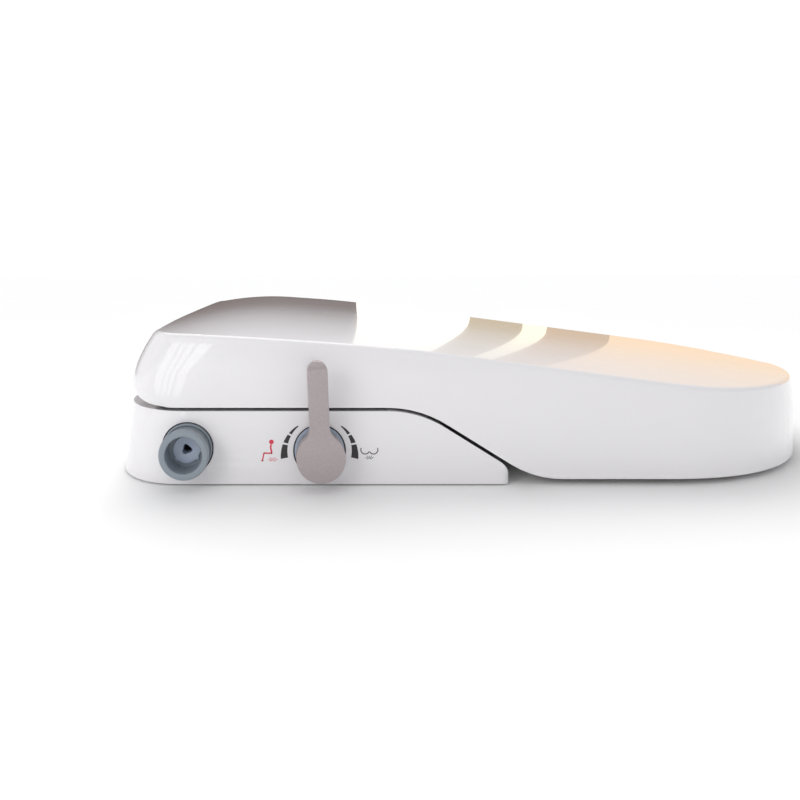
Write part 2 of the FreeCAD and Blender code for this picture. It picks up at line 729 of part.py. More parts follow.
def seat_bottom_shell():
    inset = SEAT_WALL + FIT
    above = seat_block(inset, 0.0)
    plate = above.cut(seat_block(SEAT_WALL - 1, SEAT_PLATE_T))
    for x, y in seat_screw_places():
        plate = plate.cut(rod_z(x, y, SCREW_R + 0.3, 0, 130))
        plate = plate.cut(rod_z(x, y, SCREW_HEAD_R + 0.3, 0, seat_floor(x) + SCREW_HEAD_T))
    return plate


def seat_screws():
    return group([screw_up(x, y, seat_floor(x), seat_floor(x) + SEAT_PLATE_T + 8)
                  for x, y in seat_screw_places()])


def seat_bumpers():
    pads = []
    for x in (205.0, 385.0):
        y = ring_middle_y(x)
        for s in SIDES:
            half_l, half_w = BUMPER_L / 2, BUMPER_W / 2
            corners = [(x - half_l, s * y - half_w, 5.0), (x + half_l, s * y - half_w, 5.0),
                       (x + half_l, s * y + half_w, 5.0), (x - half_l, s * y + half_w, 5.0)]
            pads.append(plan_slab(corner_path(corners, in_xy), 0, SEAT_UNDER_Z))
    return group(pads)


# ---------------------------------------------------------------- lever and valve

HUB_BACK_Y = -HALF_WIDTH - HUB_GAP
HUB_FRONT_Y = HUB_BACK_Y - HUB_PROUD
SPINDLE_END_Y = HUB_FRONT_Y + 4.0
BEZEL_IN_Y = -HALF_WIDTH + BASE_WALL
BONNET_Y = (BEZEL_IN_Y + 2.0, BEZEL_IN_Y + 10.5)
FIXED_DISC_Y = (VALVE_FLOOR_Y - DISC_T, VALVE_FLOOR_Y)
ROTOR_Y = (FIXED_DISC_Y[0] - RUN - DISC_T, FIXED_DISC_Y[0] - RUN)
DISC_R = VALVE_CAVITY_R - SEAT_FIT
GROOVE_YS = (BONNET_Y[0] + 2.5, BONNET_Y[0] + 5.5)


def at_rest(shape):
    """Turns a shape built with the lever upright to the lever's resting lean."""
    turned = shape.copy()
    turned.rotate(Vector(LEVER_X, 0, LEVER_Z), Y_AXIS, -LEVER_REST_DEG)
    return turned


def lever():
    hub = rod_y(LEVER_X, LEVER_Z, HUB_R, HUB_FRONT_Y, HUB_BACK_Y)
    rim = [e for e in hub.Edges if e.BoundBox.YMax < HUB_FRONT_Y + 0.1 and e.Length > HUB_R]
    hub = hub.makeFillet(2.0, rim)
    half = ARM_W / 2
    tip = LEVER_Z + ARM_LEN
    front = [
        (LEVER_X - half, tip, half - 0.1), (LEVER_X + half, tip, half - 0.1),
        (LEVER_X + half, LEVER_Z + HUB_R, FLARE_R), (LEVER_X + HUB_R - 1, LEVER_Z + 4, 0),
        (LEVER_X - HUB_R + 1, LEVER_Z + 4, 0), (LEVER_X - half, LEVER_Z + HUB_R, FLARE_R),
    ]
    face = side_slab(front, HUB_FRONT_Y - ARM_LEAN - 1, HUB_BACK_Y)
    start = LEVER_Z + 2
    edge = [
        (HUB_FRONT_Y, start, 0), (HUB_FRONT_Y, LEVER_Z + HUB_R, 20.0), (HUB_FRONT_Y - ARM_LEAN, tip + 2, 0),
        (HUB_FRONT_Y - ARM_LEAN + ARM_T, tip + 2, 0), (HUB_FRONT_Y + ARM_T, LEVER_Z + HUB_R, 20.0),
        (HUB_FRONT_Y + ARM_T, start, 0),
    ]
    blade = slab(corner_path(edge, in_yz), Vector(SPAN, 0, 0))
    solid = hub.fuse(face.common(blade)).removeSplitter()
    solid = solid.cut(rod_y(LEVER_X, LEVER_Z, SPINDLE_R + SEAT_FIT, SPINDLE_END_Y, HUB_BACK_Y + 1))
    grub_hole = rod_z(LEVER_X, GRUB_Y, SCREW_R + SEAT_FIT, LEVER_Z - HUB_R - 1, LEVER_Z - SPINDLE_R + 1)
    solid = solid.cut(grub_hole)
    return at_rest(solid)


GRUB_Y = HUB_BACK_Y - 5.0


def lever_grub_screw():
    return at_rest(rod_z(LEVER_X, GRUB_Y, SCREW_R, LEVER_Z - HUB_R + 1.5, LEVER_Z - SPINDLE_R))


def lever_bezel():
    disc = rod_y(LEVER_X, LEVER_Z, BEZEL_R - FIT, -HALF_WIDTH + 0.4, BEZEL_IN_Y)
    flange = rod_y(LEVER_X, LEVER_Z, BEZEL_R + 1.4, BEZEL_IN_Y, BONNET_Y[0])
    return disc.fuse(flange).cut(rod_y(LEVER_X, LEVER_Z, SPINDLE_R + 1.5, -SPAN, 0)).removeSplitter()


def valve_bonnet():
    return ring_y(LEVER_X, LEVER_Z, VALVE_R - 1, SPINDLE_R + RUN, *BONNET_Y)


def valve_body():
    solid = rod_y(LEVER_X, LEVER_Z, VALVE_R, BONNET_Y[1], VALVE_END_Y)
    solid = solid.cut(rod_y(LEVER_X, LEVER_Z, VALVE_CAVITY_R, BONNET_Y[1] - 1, VALVE_FLOOR_Y))
    for x, z in outlet_places():
        solid = solid.fuse(rod_y(x, z, SPIGOT_R, VALVE_END_Y, VALVE_END_Y + 8))
        solid = solid.cut(rod_y(x, z, PORT_R, VALVE_FLOOR_Y - 1, VALVE_END_Y + 9))
    port_x = LEVER_X - VALVE_R - TAIL_LEN
    solid = solid.fuse(Part.makeCylinder(SPIGOT_R, TAIL_LEN + 4, Vector(port_x, PIPE_Y, LEVER_Z), X_AXIS))
    bore = Part.makeCylinder(PORT_R, VALVE_R + 4, Vector(port_x - 1, PIPE_Y, LEVER_Z), X_AXIS)
    feed = rod_y(LEVER_X + FEED_X, LEVER_Z, PORT_R, VALVE_FLOOR_Y - 1, PIPE_Y)
    return solid.cut(bore).cut(feed).removeSplitter()


def outlet_places():
    return [(LEVER_X + OUTLET_X, LEVER_Z + s * OUTLET_Z) for s in (1, -1)]


def port_holes(shape, y0, y1, places):
    for x, z in places:
        shape = shape.cut(rod_y(x, z, PORT_R, y0 - 1, y1 + 1))
    return shape


def ceramic_fixed_disc():
    disc = rod_y(LEVER_X, LEVER_Z, DISC_R, *FIXED_DISC_Y)
    return port_holes(disc, FIXED_DISC_Y[0], FIXED_DISC_Y[1], outlet_places() + [(LEVER_X + FEED_X, LEVER_Z)])


def ceramic_rotor_disc():
    disc = rod_y(LEVER_X, LEVER_Z, DISC_R - 0.3, *ROTOR_Y)
    pocket = rod_y(LEVER_X + 5, LEVER_Z, 4.0, ROTOR_Y[1] - 2, ROTOR_Y[1] + 1)
    return disc.cut(pocket)


def spindle():
    solid = rod_y(LEVER_X, LEVER_Z, SPINDLE_R, SPINDLE_END_Y, ROTOR_Y[0])
    solid = solid.fuse(rod_y(LEVER_X, LEVER_Z, DISC_R - 0.5, ROTOR_Y[0] - 4, ROTOR_Y[0]))
    for y in GROOVE_YS:
        solid = solid.cut(ring_y(LEVER_X, LEVER_Z, SPINDLE_R + 1, SPINDLE_R - 1, y - 0.75, y + 0.75))
    return solid.removeSplitter()


def spindle_o_rings():
    r = (1 + RUN) / 2 - 0.03
    rings = []
    for y in GROOVE_YS:
        rings.append(Part.makeTorus(SPINDLE_R - 1 + r + 0.02, r, Vector(LEVER_X, y, LEVER_Z), Y_AXIS))
    return group(rings)


# ---------------------------------------------------------------- water inlet

INLET_FACE_Y = -HALF_WIDTH - INLET_PROUD
SOCKET_FLOOR_Y = INLET_FACE_Y + SOCKET_BORE_DEPTH
CARTRIDGE_Y = (SOCKET_FLOOR_Y, SOCKET_FLOOR_Y + CARTRIDGE_LEN)
TAIL_R = CARTRIDGE_R + 1.0


def inlet_socket():
    solid = rod_y(INLET_X, INLET_Z, SOCKET_R, INLET_FACE_Y, BEZEL_IN_Y)
    flange = rod_y(INLET_X, INLET_Z, INLET_HOLE_R + 2, BEZEL_IN_Y, BEZEL_IN_Y + 2.5)
    solid = solid.fuse(flange.common(base_block(BASE_WALL, PAD_PROUD - 1.0, CEILING_Z)))
    solid = solid.fuse(rod_y(INLET_X, INLET_Z, TAIL_R + 1, BEZEL_IN_Y, ELBOW_Y))
    solid = solid.fuse(rod_y(INLET_X, INLET_Z, TAIL_R, BEZEL_IN_Y, TAIL_Y))
    solid = solid.cut(rod_y(INLET_X, INLET_Z, SOCKET_BORE_R, INLET_FACE_Y - 1, SOCKET_FLOOR_Y))
    solid = solid.cut(rod_y(INLET_X, INLET_Z, CARTRIDGE_R, SOCKET_FLOOR_Y - 1, CARTRIDGE_Y[1] + 1.5))
    return solid.cut(rod_y(INLET_X, INLET_Z, CARTRIDGE_R - 1.5, SOCKET_FLOOR_Y, TAIL_Y + 1)).removeSplitter()


def inlet_collar():
    return ring_y(INLET_X, INLET_Z, INLET_HOLE_R - FIT, SOCKET_R + SEAT_FIT, -HALF_WIDTH - 2.0, BEZEL_IN_Y)


def inlet_check_valve():
    solid = rod_y(INLET_X, INLET_Z, CARTRIDGE_R - SEAT_FIT, *CARTRIDGE_Y)
    solid = solid.cut(rod_y(INLET_X, INLET_Z, CARTRIDGE_R - 3, CARTRIDGE_Y[0] + 4, CARTRIDGE_Y[1] + 1))
    for k in range(3):
        turn = 2 * math.pi * k / 3
        x = INLET_X + 1.6 * math.sin(turn)
        z = INLET_Z + 1.6 * math.cos(turn)
        solid = solid.cut(rod_y(x, z, 1.9, CARTRIDGE_Y[0] - 1, CARTRIDGE_Y[0] + 5))
    return solid


def inlet_filter():
    return rod_y(INLET_X, INLET_Z, CARTRIDGE_R - SEAT_FIT, CARTRIDGE_Y[1], CARTRIDGE_Y[1] + 1.5)


def inlet_o_ring():
    return Part.makeTorus(TAIL_R + 0.9, 0.85, Vector(INLET_X, ELBOW_Y + 1.0, INLET_Z), Y_AXIS)


def inlet_elbow():
    solid = rod_y(INLET_X, INLET_Z, ELBOW_R, ELBOW_Y, ELBOW_END_Y)
    port = Part.makeCylinder(SPIGOT_R, ELBOW_R + 8, Vector(INLET_X, PIPE_Y, LEVER_Z), X_AXIS)
    solid = solid.fuse(port)
    solid = solid.cut(rod_y(INLET_X, INLET_Z, TAIL_R + SEAT_FIT, ELBOW_Y - 1, TAIL_Y))
    solid = solid.cut(rod_y(INLET_X, INLET_Z, TAIL_R + 1.9, ELBOW_Y - 1, ELBOW_Y + 2.0))
    solid = solid.cut(rod_y(INLET_X, INLET_Z, TAIL_R - 4, TAIL_Y - 1, ELBOW_END_Y - 3))
    bore = Part.makeCylinder(PORT_R, ELBOW_R + 9, Vector(INLET_X, PIPE_Y, LEVER_Z), X_AXIS)
    return solid.cut(bore).removeSplitter()


def inlet_clip():
    """Wire clip round the elbow, locked behind its groove."""
    ring = ring_y(INLET_X, INLET_Z, ELBOW_R + 2, ELBOW_R + SEAT_FIT, ELBOW_Y + 2, ELBOW_Y + 5)
    gap = box(INLET_X - 8, INLET_X + 8, ELBOW_Y, ELBOW_Y + 8, INLET_Z - ELBOW_R - 5, INLET_Z - 6)
    return ring.cut(gap)


def supply_pipe():
    x0 = INLET_X + ELBOW_R + 0.5
    x1 = LEVER_X - VALVE_R - 0.5
    r = SPIGOT_R + SEAT_FIT
    outer = Part.makeCylinder(r + HOSE_WALL, x1 - x0, Vector(x0, PIPE_Y, LEVER_Z), X_AXIS)
    return outer.cut(Part.makeCylinder(r, x1 - x0 + 2, Vector(x0 - 1, PIPE_Y, LEVER_Z), X_AXIS))


# ---------------------------------------------------------------- hoses

def bent_tube(points, bend_r, radius):
    """Tube along straight runs joined by tangent arcs."""
    route = [Vector(*p) for p in points]
    edges = []
    last = route[0]
    for before, here, after in zip(route, route[1:], route[2:]):
        back = (before - here).normalize()
        ahead = (after - here).normalize()
        half = back.getAngle(ahead) / 2
        reach = bend_r / math.tan(half)
        inward = (back + ahead).normalize()
        middle = here + inward * (bend_r / math.sin(half) - bend_r)
        start = here + back * reach
        end = here + ahead * reach
        edges.append(Part.makeLine(last, start))
        edges.append(Part.Arc(start, middle, end).toShape())
        last = end
    edges.append(Part.makeLine(last, route[-1]))
    path = Part.Wire(edges)
    axis = (route[1] - route[0]).normalize()
    section = Part.Wire(Part.makeCircle(radius, route[0], axis))
    return path.makePipeShell([section], True, False)


def nozzle_point(u, y):
    turn = math.radians(NOZZLE_TILT)
    return (NOZZLE_REAR_X + u * math.cos(turn), y, NOZZLE_REAR_Z - u * math.sin(turn))


# level spigot behind each barrel, from its end to the lowest point of the tilted rear face
TAIL_ROOT_X = NOZZLE_REAR_X - BARREL_R * math.sin(math.radians(NOZZLE_TILT))
BARREL_TAIL_X = (TAIL_ROOT_X - TAIL_LEN, TAIL_ROOT_X - 0.5)


def hose_route(k):
    """From a valve outlet to the rear of a barrel: k is 0 for the rear wash and 1 for the front wash."""
    x, z = outlet_places()[k]
    y_cross = (-78.0, -94.0)[k]
    x_back = (-47.0, -58.0)[k]
    level = (NOZZLE_REAR_Z, NOZZLE_REAR_Z - 13.0)[k]
    return [(x, VALVE_END_Y + 0.5, z), (x, y_cross, z), (x_back, y_cross, level),
            (x_back, NOZZLE_YS[k], NOZZLE_REAR_Z), (BARREL_TAIL_X[1] + 0.3, NOZZLE_YS[k], NOZZLE_REAR_Z)]


def nozzle_hose(k):
    route = hose_route(k)
    outer = bent_tube(route, HOSE_BEND, SPIGOT_R + HOSE_WALL)
    inner = bent_tube(route, HOSE_BEND, SPIGOT_R + SEAT_FIT)
    return outer.cut(inner)


# ---------------------------------------------------------------- nozzles

GLAND_U = (BARREL_LEN - GLAND_LEN, BARREL_LEN)


def nozzle_barrel(y):
    solid = rod_x(BARREL_R, 0, BARREL_LEN - 2)
    solid = solid.cut(rod_x(BARREL_BORE_R, END_WALL, BARREL_LEN))
    solid = nozzle_place(solid, y)
    tail, root = BARREL_TAIL_X
    reach = NOZZLE_REAR_X - tail
    spigot = Part.makeCylinder(SPIGOT_R, reach + 1, Vector(tail, y, NOZZLE_REAR_Z), X_AXIS)
    bore = Part.makeCylinder(PORT_R, reach + 8, Vector(tail - 1, y, NOZZLE_REAR_Z), X_AXIS)
    return solid.fuse(spigot).cut(bore)


def gland_nut(y):
    solid = rod_x(BARREL_R, BARREL_LEN - 2, BARREL_LEN)
    solid = solid.fuse(rod_x(BARREL_BORE_R - SEAT_FIT, GLAND_U[0], BARREL_LEN - 1))
    return nozzle_place(solid.cut(rod_x(TUBE_R + RUN, GLAND_U[0] - 1, BARREL_LEN + 1)), y)


PISTON_U = (END_WALL + 0.5, END_WALL + 0.5 + PISTON_LEN)


def nozzle_tube(y):
    solid = rod_x(BARREL_BORE_R - RUN, *PISTON_U)
    solid = solid.fuse(rod_x(TUBE_R, PISTON_U[0], NOZZLE_LEN - TIP_LEN + 4))
    middle = sum(PISTON_U) / 2
    groove = rod_x(BARREL_BORE_R + 1, middle - 1, middle + 1)
    groove = groove.cut(rod_x(BARREL_BORE_R - SEAL_GROOVE, middle - 2, middle + 2))
    solid = solid.cut(groove).cut(rod_x(TUBE_BORE_R, PISTON_U[0] - 1, NOZZLE_LEN))
    return nozzle_place(solid.removeSplitter(), y)


def piston_seal(y):
    middle = sum(PISTON_U) / 2
    ring = Part.makeTorus(BARREL_BORE_R - SEAL_GROOVE + SEAL_R + 0.02, SEAL_R, Vector(middle, 0, 0), X_AXIS)
    return nozzle_place(ring, y)


def nozzle_tip(y, jets):
    """Cap on the end of the tube, with its spray holes in the upper side."""
    start = NOZZLE_LEN - TIP_LEN
    solid = rod_x(TIP_R, start, NOZZLE_LEN)
    end = [e for e in solid.Edges if e.BoundBox.XMin > NOZZLE_LEN - 0.1]
    solid = solid.makeFillet(1.6, end)
    solid = solid.cut(rod_x(TUBE_R + SEAT_FIT, start - 1, start + 4))
    solid = solid.cut(rod_x(TUBE_BORE_R - 0.4, start, NOZZLE_LEN - 2))
    for k in range(jets):
        turn = 2 * math.pi * k / jets
        spread = 0.0 if jets == 1 else 1.2
        centre = Vector(NOZZLE_LEN - 5 + spread * math.cos(turn), spread * math.sin(turn), 0)
        solid = solid.cut(Part.makeCylinder(0.45, TIP_R + 2, centre, Z_AXIS))
    return nozzle_place(solid, y)


def coil(radius, length, turns):
    """Return spring: level turns of wire, each linked to the next on alternate sides."""
    pitch = (length - 2 * WIRE_R) / (turns - 1)
    solid = Part.makeTorus(radius, WIRE_R, Vector(0, 0, WIRE_R))
    for k in range(1, turns):
        z = WIRE_R + k * pitch
        side = Vector(radius if k % 2 else -radius, 0, z - pitch)
        solid = solid.fuse(Part.makeTorus(radius, WIRE_R, Vector(0, 0, z)))
        solid = solid.fuse(Part.makeCylinder(LINK_R, pitch, side, Z_AXIS))
    return solid


def along_x(shape, u):
    turned = shape.copy()
    turned.rotate(Vector(0, 0, 0), Y_AXIS, 90)
    turned.translate(Vector(u, 0, 0))
    return turned


def nozzle_spring(y):
    start = PISTON_U[1] + SEAT_FIT
    length = GLAND_U[0] - SEAT_FIT - start
    return nozzle_place(along_x(coil((TUBE_R + BARREL_BORE_R) / 2, length, 12), start), y)


def cradle_screw_places():
    return [(CRADLE_FRONT_X - 4, s * (CRADLE_HALF_W - SCREW_HEAD_R - 0.6)) for s in SIDES]


def nozzle_cradle():
    """Saddle that carries both barrels from the bottom cover."""
    turn = math.tan(math.radians(NOZZLE_TILT))

    def line_z(x):
        return NOZZLE_REAR_Z - (x - NOZZLE_REAR_X) * turn - 1.0

    x0 = NOZZLE_REAR_X + 6
    step = BRACKET_W / 2 + FIT + COVER_T
    corners = [(x0, POCKET_TOP_Z, 0), (x0, line_z(x0), 0), (CRADLE_FRONT_X, line_z(CRADLE_FRONT_X), 0),
               (CRADLE_FRONT_X, COVER_TOP_Z, 0), (step, COVER_TOP_Z, 0), (step, POCKET_TOP_Z, 0)]
    solid = side_slab(corners, -CRADLE_HALF_W, CRADLE_HALF_W)
    for y in NOZZLE_YS:
        solid = solid.cut(nozzle_place(rod_x(BARREL_R + SEAT_FIT, -5, BARREL_LEN + 20), y))
    for x, y in cradle_screw_places():
        solid = solid.cut(rod_z(x, y, SCREW_R + SEAT_FIT, 0, 40))
        solid = solid.cut(rod_z(x, y, SCREW_HEAD_R + 0.3, COVER_TOP_Z + 5, 40))
    return solid


def cradle_screws():
    screws = []
    for x, y in cradle_screw_places():
        head = rod_z(x, y, SCREW_HEAD_R, COVER_TOP_Z + 5, COVER_TOP_Z + 5 + SCREW_HEAD_T)
        screws.append(head.fuse(rod_z(x, y, SCREW_R, COVER_TOP_Z - 1.5, COVER_TOP_Z + 5.1)).removeSplitter())
    return group(screws)


def barrel_strap():
    """Strap over both barrels, across the middle of the cradle."""
    middle = BARREL_LEN * 0.42
    solid = Part.makeBox(STRAP_W, 2 * CRADLE_HALF_W, BARREL_R + STRAP_T - 1.5,
                         Vector(middle - STRAP_W / 2, -CRADLE_HALF_W, 0))
    solid = nozzle_place(solid, 0)
    solid.translate(Vector(0, 0, -1.0 + 0.001))
    for y in NOZZLE_YS:
        solid = solid.cut(nozzle_place(rod_x(BARREL_R + SEAT_FIT, -5, BARREL_LEN + 20), y))
    return solid


def nozzle_guard():
    """Flap in front of the nozzles: hangs from its pin and has one arch for each nozzle."""
    x1 = FRONT_WALL_X
    solid = box(x1 - GUARD_T, x1, -GUARD_HALF_W, GUARD_HALF_W, PAD_PROUD + 2, GUARD_PIN_Z + 1.5)
    solid = solid.fuse(rod_y(GUARD_X, GUARD_PIN_Z, GUARD_BARREL_R, -GUARD_HALF_W, GUARD_HALF_W))
    solid = solid.fuse(box(GUARD_X, x1, -GUARD_HALF_W, GUARD_HALF_W, GUARD_PIN_Z - 1.5, GUARD_PIN_Z + 1.5))
    for y in NOZZLE_YS:
        arch_r = TIP_R + 0.8
        solid = solid.cut(nozzle_place(rod_x(arch_r, NOZZLE_LEN - 12, NOZZLE_LEN + 12), y))
        arch_z = nozzle_point(NOZZLE_LEN, y)[2]
        solid = solid.cut(box(x1 - 6, x1 + 1, y - arch_r, y + arch_r, -1, arch_z))
    pin = rod_y(GUARD_X, GUARD_PIN_Z, GUARD_PIN_R, -GUARD_HALF_W - 3.4, GUARD_HALF_W + 3.4)
    return solid.fuse(pin).removeSplitter()


# ---------------------------------------------------------------- release button

BUTTON_STOP_Y = HALF_WIDTH - BASE_WALL


def release_button():
    outer = HALF_WIDTH + BUTTON_PROUD
    cap = box(BUTTON_X - BUTTON_L / 2, BUTTON_X + BUTTON_L / 2, BUTTON_STOP_Y - 2, outer,
              BUTTON_Z - BUTTON_H / 2, BUTTON_Z + BUTTON_H / 2)
    corners = [e for e in cap.Edges if abs(e.BoundBox.YLength - (outer - BUTTON_STOP_Y + 2)) < 0.01]
    cap = cap.makeFillet(3.0, corners)
    flange = box(BUTTON_X - BUTTON_L / 2 - 2, BUTTON_X + BUTTON_L / 2 + 2, BUTTON_STOP_Y - 2.5, BUTTON_STOP_Y - 0.05,
                 BUTTON_Z - BUTTON_H / 2 - 1.5, BUTTON_Z + BUTTON_H / 2 + 1.5)
    rod = rod_y(BUTTON_X, BUTTON_Z, ROD_R, BRACKET_LEN / 2 + 8, BUTTON_STOP_Y - 1)
    return cap.fuse(flange).fuse(rod).removeSplitter()


def button_spring():
    y0 = GUIDE_Y + GUIDE_T + SEAT_FIT
    length = BUTTON_STOP_Y - 2.5 - SEAT_FIT - y0
    spring = coil(ROD_R + 1.2, length, 9)
    spring.rotate(Vector(0, 0, 0), Vector(1, 0, 0), -90)
    spring.translate(Vector(BUTTON_X, y0, BUTTON_Z))
    return spring


def hose_clamps():
    """Spring clamps on the four hose ends."""
    clamps = []
    r = SPIGOT_R + HOSE_WALL
    for k in range(2):
        x, z = outlet_places()[k]
        clamps.append(ring_y(x, z, r + CLAMP_T, r + SEAT_FIT, VALVE_END_Y + 2.5, VALVE_END_Y + 5.5))
        ring = rod_x(r + CLAMP_T, 2, 5).cut(rod_x(r + SEAT_FIT, 1, 6))
        ring.translate(Vector(BARREL_TAIL_X[0], NOZZLE_YS[k], NOZZLE_REAR_Z))
        clamps.append(ring)
    return group(clamps)


def post_screws():
    return group([screw_up(x, y, CEILING_Z - SCREW_HEAD_T, BASE_HEIGHT + 6) for x, y in post_screw_places()])


def main():
    os.makedirs("parts", exist_ok=True)
    outer = lid_block(0.0)
    hollow = lid_block(LID_WALL)
    seat_form = seat_block(0.0, 0.0)
    save("base_housing", base_housing())
    save("bottom_cover", bottom_cover())
    save("anti_slip_pads", anti_slip_pads())
    save("housing_screws", housing_screws())
    save("mounting_bracket", mounting_bracket())
    save("hinge_post_lever_side", mirrored(hinge_post(True)))
    save("hinge_post_plain_side", hinge_post(False))
    save("hinge_post_screws", post_screws())
    save("seat_damper_body", mirrored(damper_body(True)))
    save("seat_damper_shaft", mirrored(damper_shaft(True)))
    save("lid_damper_body", damper_body(False))
    save("lid_damper_shaft", damper_shaft(False))
    save("lid_pivot_pin", mirrored(pivot_pin(True)))
    save("seat_pivot_pin", pivot_pin(False))
    save("lid_shell", lid_shell(outer, hollow))
    save("lid_bumpers", lid_bumpers())
    save("seat_top_shell", seat_top_shell(seat_form))
    save("seat_bottom_shell", seat_bottom_shell())
    save("seat_screws", seat_screws())
    save("seat_bumpers", seat_bumpers())
    save("lever", lever())
    save("lever_grub_screw", lever_grub_screw())
    save("lever_bezel", lever_bezel())
    save("valve_bonnet", valve_bonnet())
    save("valve_body", valve_body())
    save("ceramic_fixed_disc", ceramic_fixed_disc())
    save("ceramic_rotor_disc", ceramic_rotor_disc())
    save("spindle", spindle())
    save("spindle_o_rings", spindle_o_rings())
    save("inlet_socket", inlet_socket())
    save("inlet_collar", inlet_collar())
    save("inlet_check_valve", inlet_check_valve())
    save("inlet_filter", inlet_filter())
    save("inlet_o_ring", inlet_o_ring())
    save("inlet_elbow", inlet_elbow())
    save("inlet_clip", inlet_clip())
    save("supply_pipe", supply_pipe())
    save("hose_clamps", hose_clamps())
    save("nozzle_cradle", nozzle_cradle())
    save("cradle_screws", cradle_screws())
    save("barrel_strap", barrel_strap())
    for k, wash in enumerate(("rear_wash", "front_wash")):
        y = NOZZLE_YS[k]
        save(wash + "_hose", nozzle_hose(k))
        save(wash + "_barrel", nozzle_barrel(y))
        save(wash + "_gland", gland_nut(y))
        save(wash + "_nozzle", nozzle_tube(y))
        save(wash + "_tip", nozzle_tip(y, (1, 4)[k]))
        save(wash + "_piston_seal", piston_seal(y))
        save(wash + "_spring", nozzle_spring(y))
    save("nozzle_guard", nozzle_guard())
    save("release_button", release_button())
    save("release_button_spring", button_spring())


main()
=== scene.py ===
import json
import math

import bmesh
import bpy
from mathutils import Matrix, Vector


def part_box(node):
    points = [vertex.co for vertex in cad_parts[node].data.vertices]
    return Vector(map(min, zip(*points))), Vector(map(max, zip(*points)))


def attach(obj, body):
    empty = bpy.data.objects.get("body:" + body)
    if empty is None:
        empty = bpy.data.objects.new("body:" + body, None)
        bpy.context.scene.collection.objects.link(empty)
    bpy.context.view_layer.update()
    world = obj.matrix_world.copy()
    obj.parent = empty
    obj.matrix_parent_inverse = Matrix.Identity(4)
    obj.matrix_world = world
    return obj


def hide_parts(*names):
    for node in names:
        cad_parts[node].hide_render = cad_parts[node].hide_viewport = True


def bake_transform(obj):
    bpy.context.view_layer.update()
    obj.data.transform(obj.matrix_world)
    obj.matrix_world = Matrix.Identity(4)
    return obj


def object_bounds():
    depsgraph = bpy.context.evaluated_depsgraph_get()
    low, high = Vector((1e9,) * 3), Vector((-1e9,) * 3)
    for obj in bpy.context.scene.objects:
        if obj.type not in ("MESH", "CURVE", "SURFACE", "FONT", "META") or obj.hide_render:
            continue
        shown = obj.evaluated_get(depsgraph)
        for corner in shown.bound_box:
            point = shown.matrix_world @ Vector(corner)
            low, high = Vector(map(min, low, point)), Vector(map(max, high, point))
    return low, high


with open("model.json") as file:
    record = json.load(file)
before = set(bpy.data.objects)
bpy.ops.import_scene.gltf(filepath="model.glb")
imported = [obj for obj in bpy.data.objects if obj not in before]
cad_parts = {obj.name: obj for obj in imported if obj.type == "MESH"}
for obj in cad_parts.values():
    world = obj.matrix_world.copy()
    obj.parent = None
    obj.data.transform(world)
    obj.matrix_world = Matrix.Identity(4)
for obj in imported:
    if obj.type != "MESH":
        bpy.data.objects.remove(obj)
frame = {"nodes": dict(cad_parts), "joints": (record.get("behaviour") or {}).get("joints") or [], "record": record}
CAD_LOW, CAD_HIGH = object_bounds()

# Water-powered bidet seat: +X to the front of the seat, +Z up, lever and water inlet on the -Y side. Metres.

MM = 0.001


def low(node):
    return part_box(node)[0]


def high(node):
    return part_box(node)[1]


def middle(node):
    return (low(node) + high(node)) / 2


JOINTS = {joint["name"]: joint for joint in frame["joints"]}
HINGE = Vector(JOINTS["lid_hinge"]["pos_m"])
LEVER_AXIS = Vector(JOINTS["lever_turn"]["pos_m"])

# ---- base, as packed ----
BASE_SIDE_Y = high("base_housing").y
BASE_TOP = high("base_housing").z
SHOULDER_X = 90 * MM            # where the top of each arm starts to fall
SHOULDER_R = 64.5 * MM
SLOPE = math.radians(31.8)
HOLLOW_R = 57 * MM              # concave sweep at the foot of the slope

# ---- lid ----
LID_SIDE_Y = high("lid_shell").y
LID_FRONT = high("lid_shell").x
LID_REAR = low("lid_shell").x
LID_FLOOR = low("lid_shell").z
LID_GAP = 2 * MM
OVAL_X = 260 * MM               # the sides run parallel up to here
LID_CORNER_R = 15 * MM
LID_WALL = 3 * MM
LID_RIM_R = 3 * MM              # rounding between the top and the side
LID_TUCK = 1.4 * MM             # the side leans in by this at its top
HINGE_WRAP_R = HINGE.x - LID_REAR
REAR_LEAN = 12 * MM
REAR_TOP_Z = 90.5 * MM
REAR_CURVE = 1.43               # how late the rear wall bends inwards
BEND_X = 90 * MM
BEND_Z = 81.1 * MM
REAR_FALL = 0.065
FRONT_FALL = 0.13
BEND_SOFT = 14 * MM
CROWN = 15.5 * MM
CROWN_START = -56 * MM
CROWN_RUN = 90 * MM

# ---- seat ring ----
RING_SIDE_Y = high("seat_top_shell").y
RING_FRONT = high("seat_top_shell").x
RING_REAR = -34 * MM
RING_DROP = 15.5 * MM           # below the line of the lid's rim
RING_FLOOR = low("seat_top_shell").z
RING_GAP = 3 * MM
RING_WALL = 3 * MM
RING_CORNER_R = 14 * MM
RING_ROLL = 11 * MM             # rounding on both edges of the ring
OPENING_X = 222 * MM
OPENING_LEN = 134 * MM
OPENING_WIDE = 108 * MM


# ==== finishes ====

def node(tree, kind, **settings):
    made = tree.nodes.new("ShaderNode" + kind)
    for key, value in settings.items():
        setattr(made, key, value)
    return made


def noise(tree, place, scale, detail=2.0, roughness=0.5):
    made = node(tree, "TexNoise")
    made.inputs["Detail"].default_value = detail
    made.inputs["Roughness"].default_value = roughness
    if isinstance(scale, (int, float)):
        made.inputs["Scale"].default_value = scale
    else:
        tree.links.new(scale, made.inputs["Scale"])
    tree.links.new(place, made.inputs["Vector"])
    return made.outputs["Fac"]


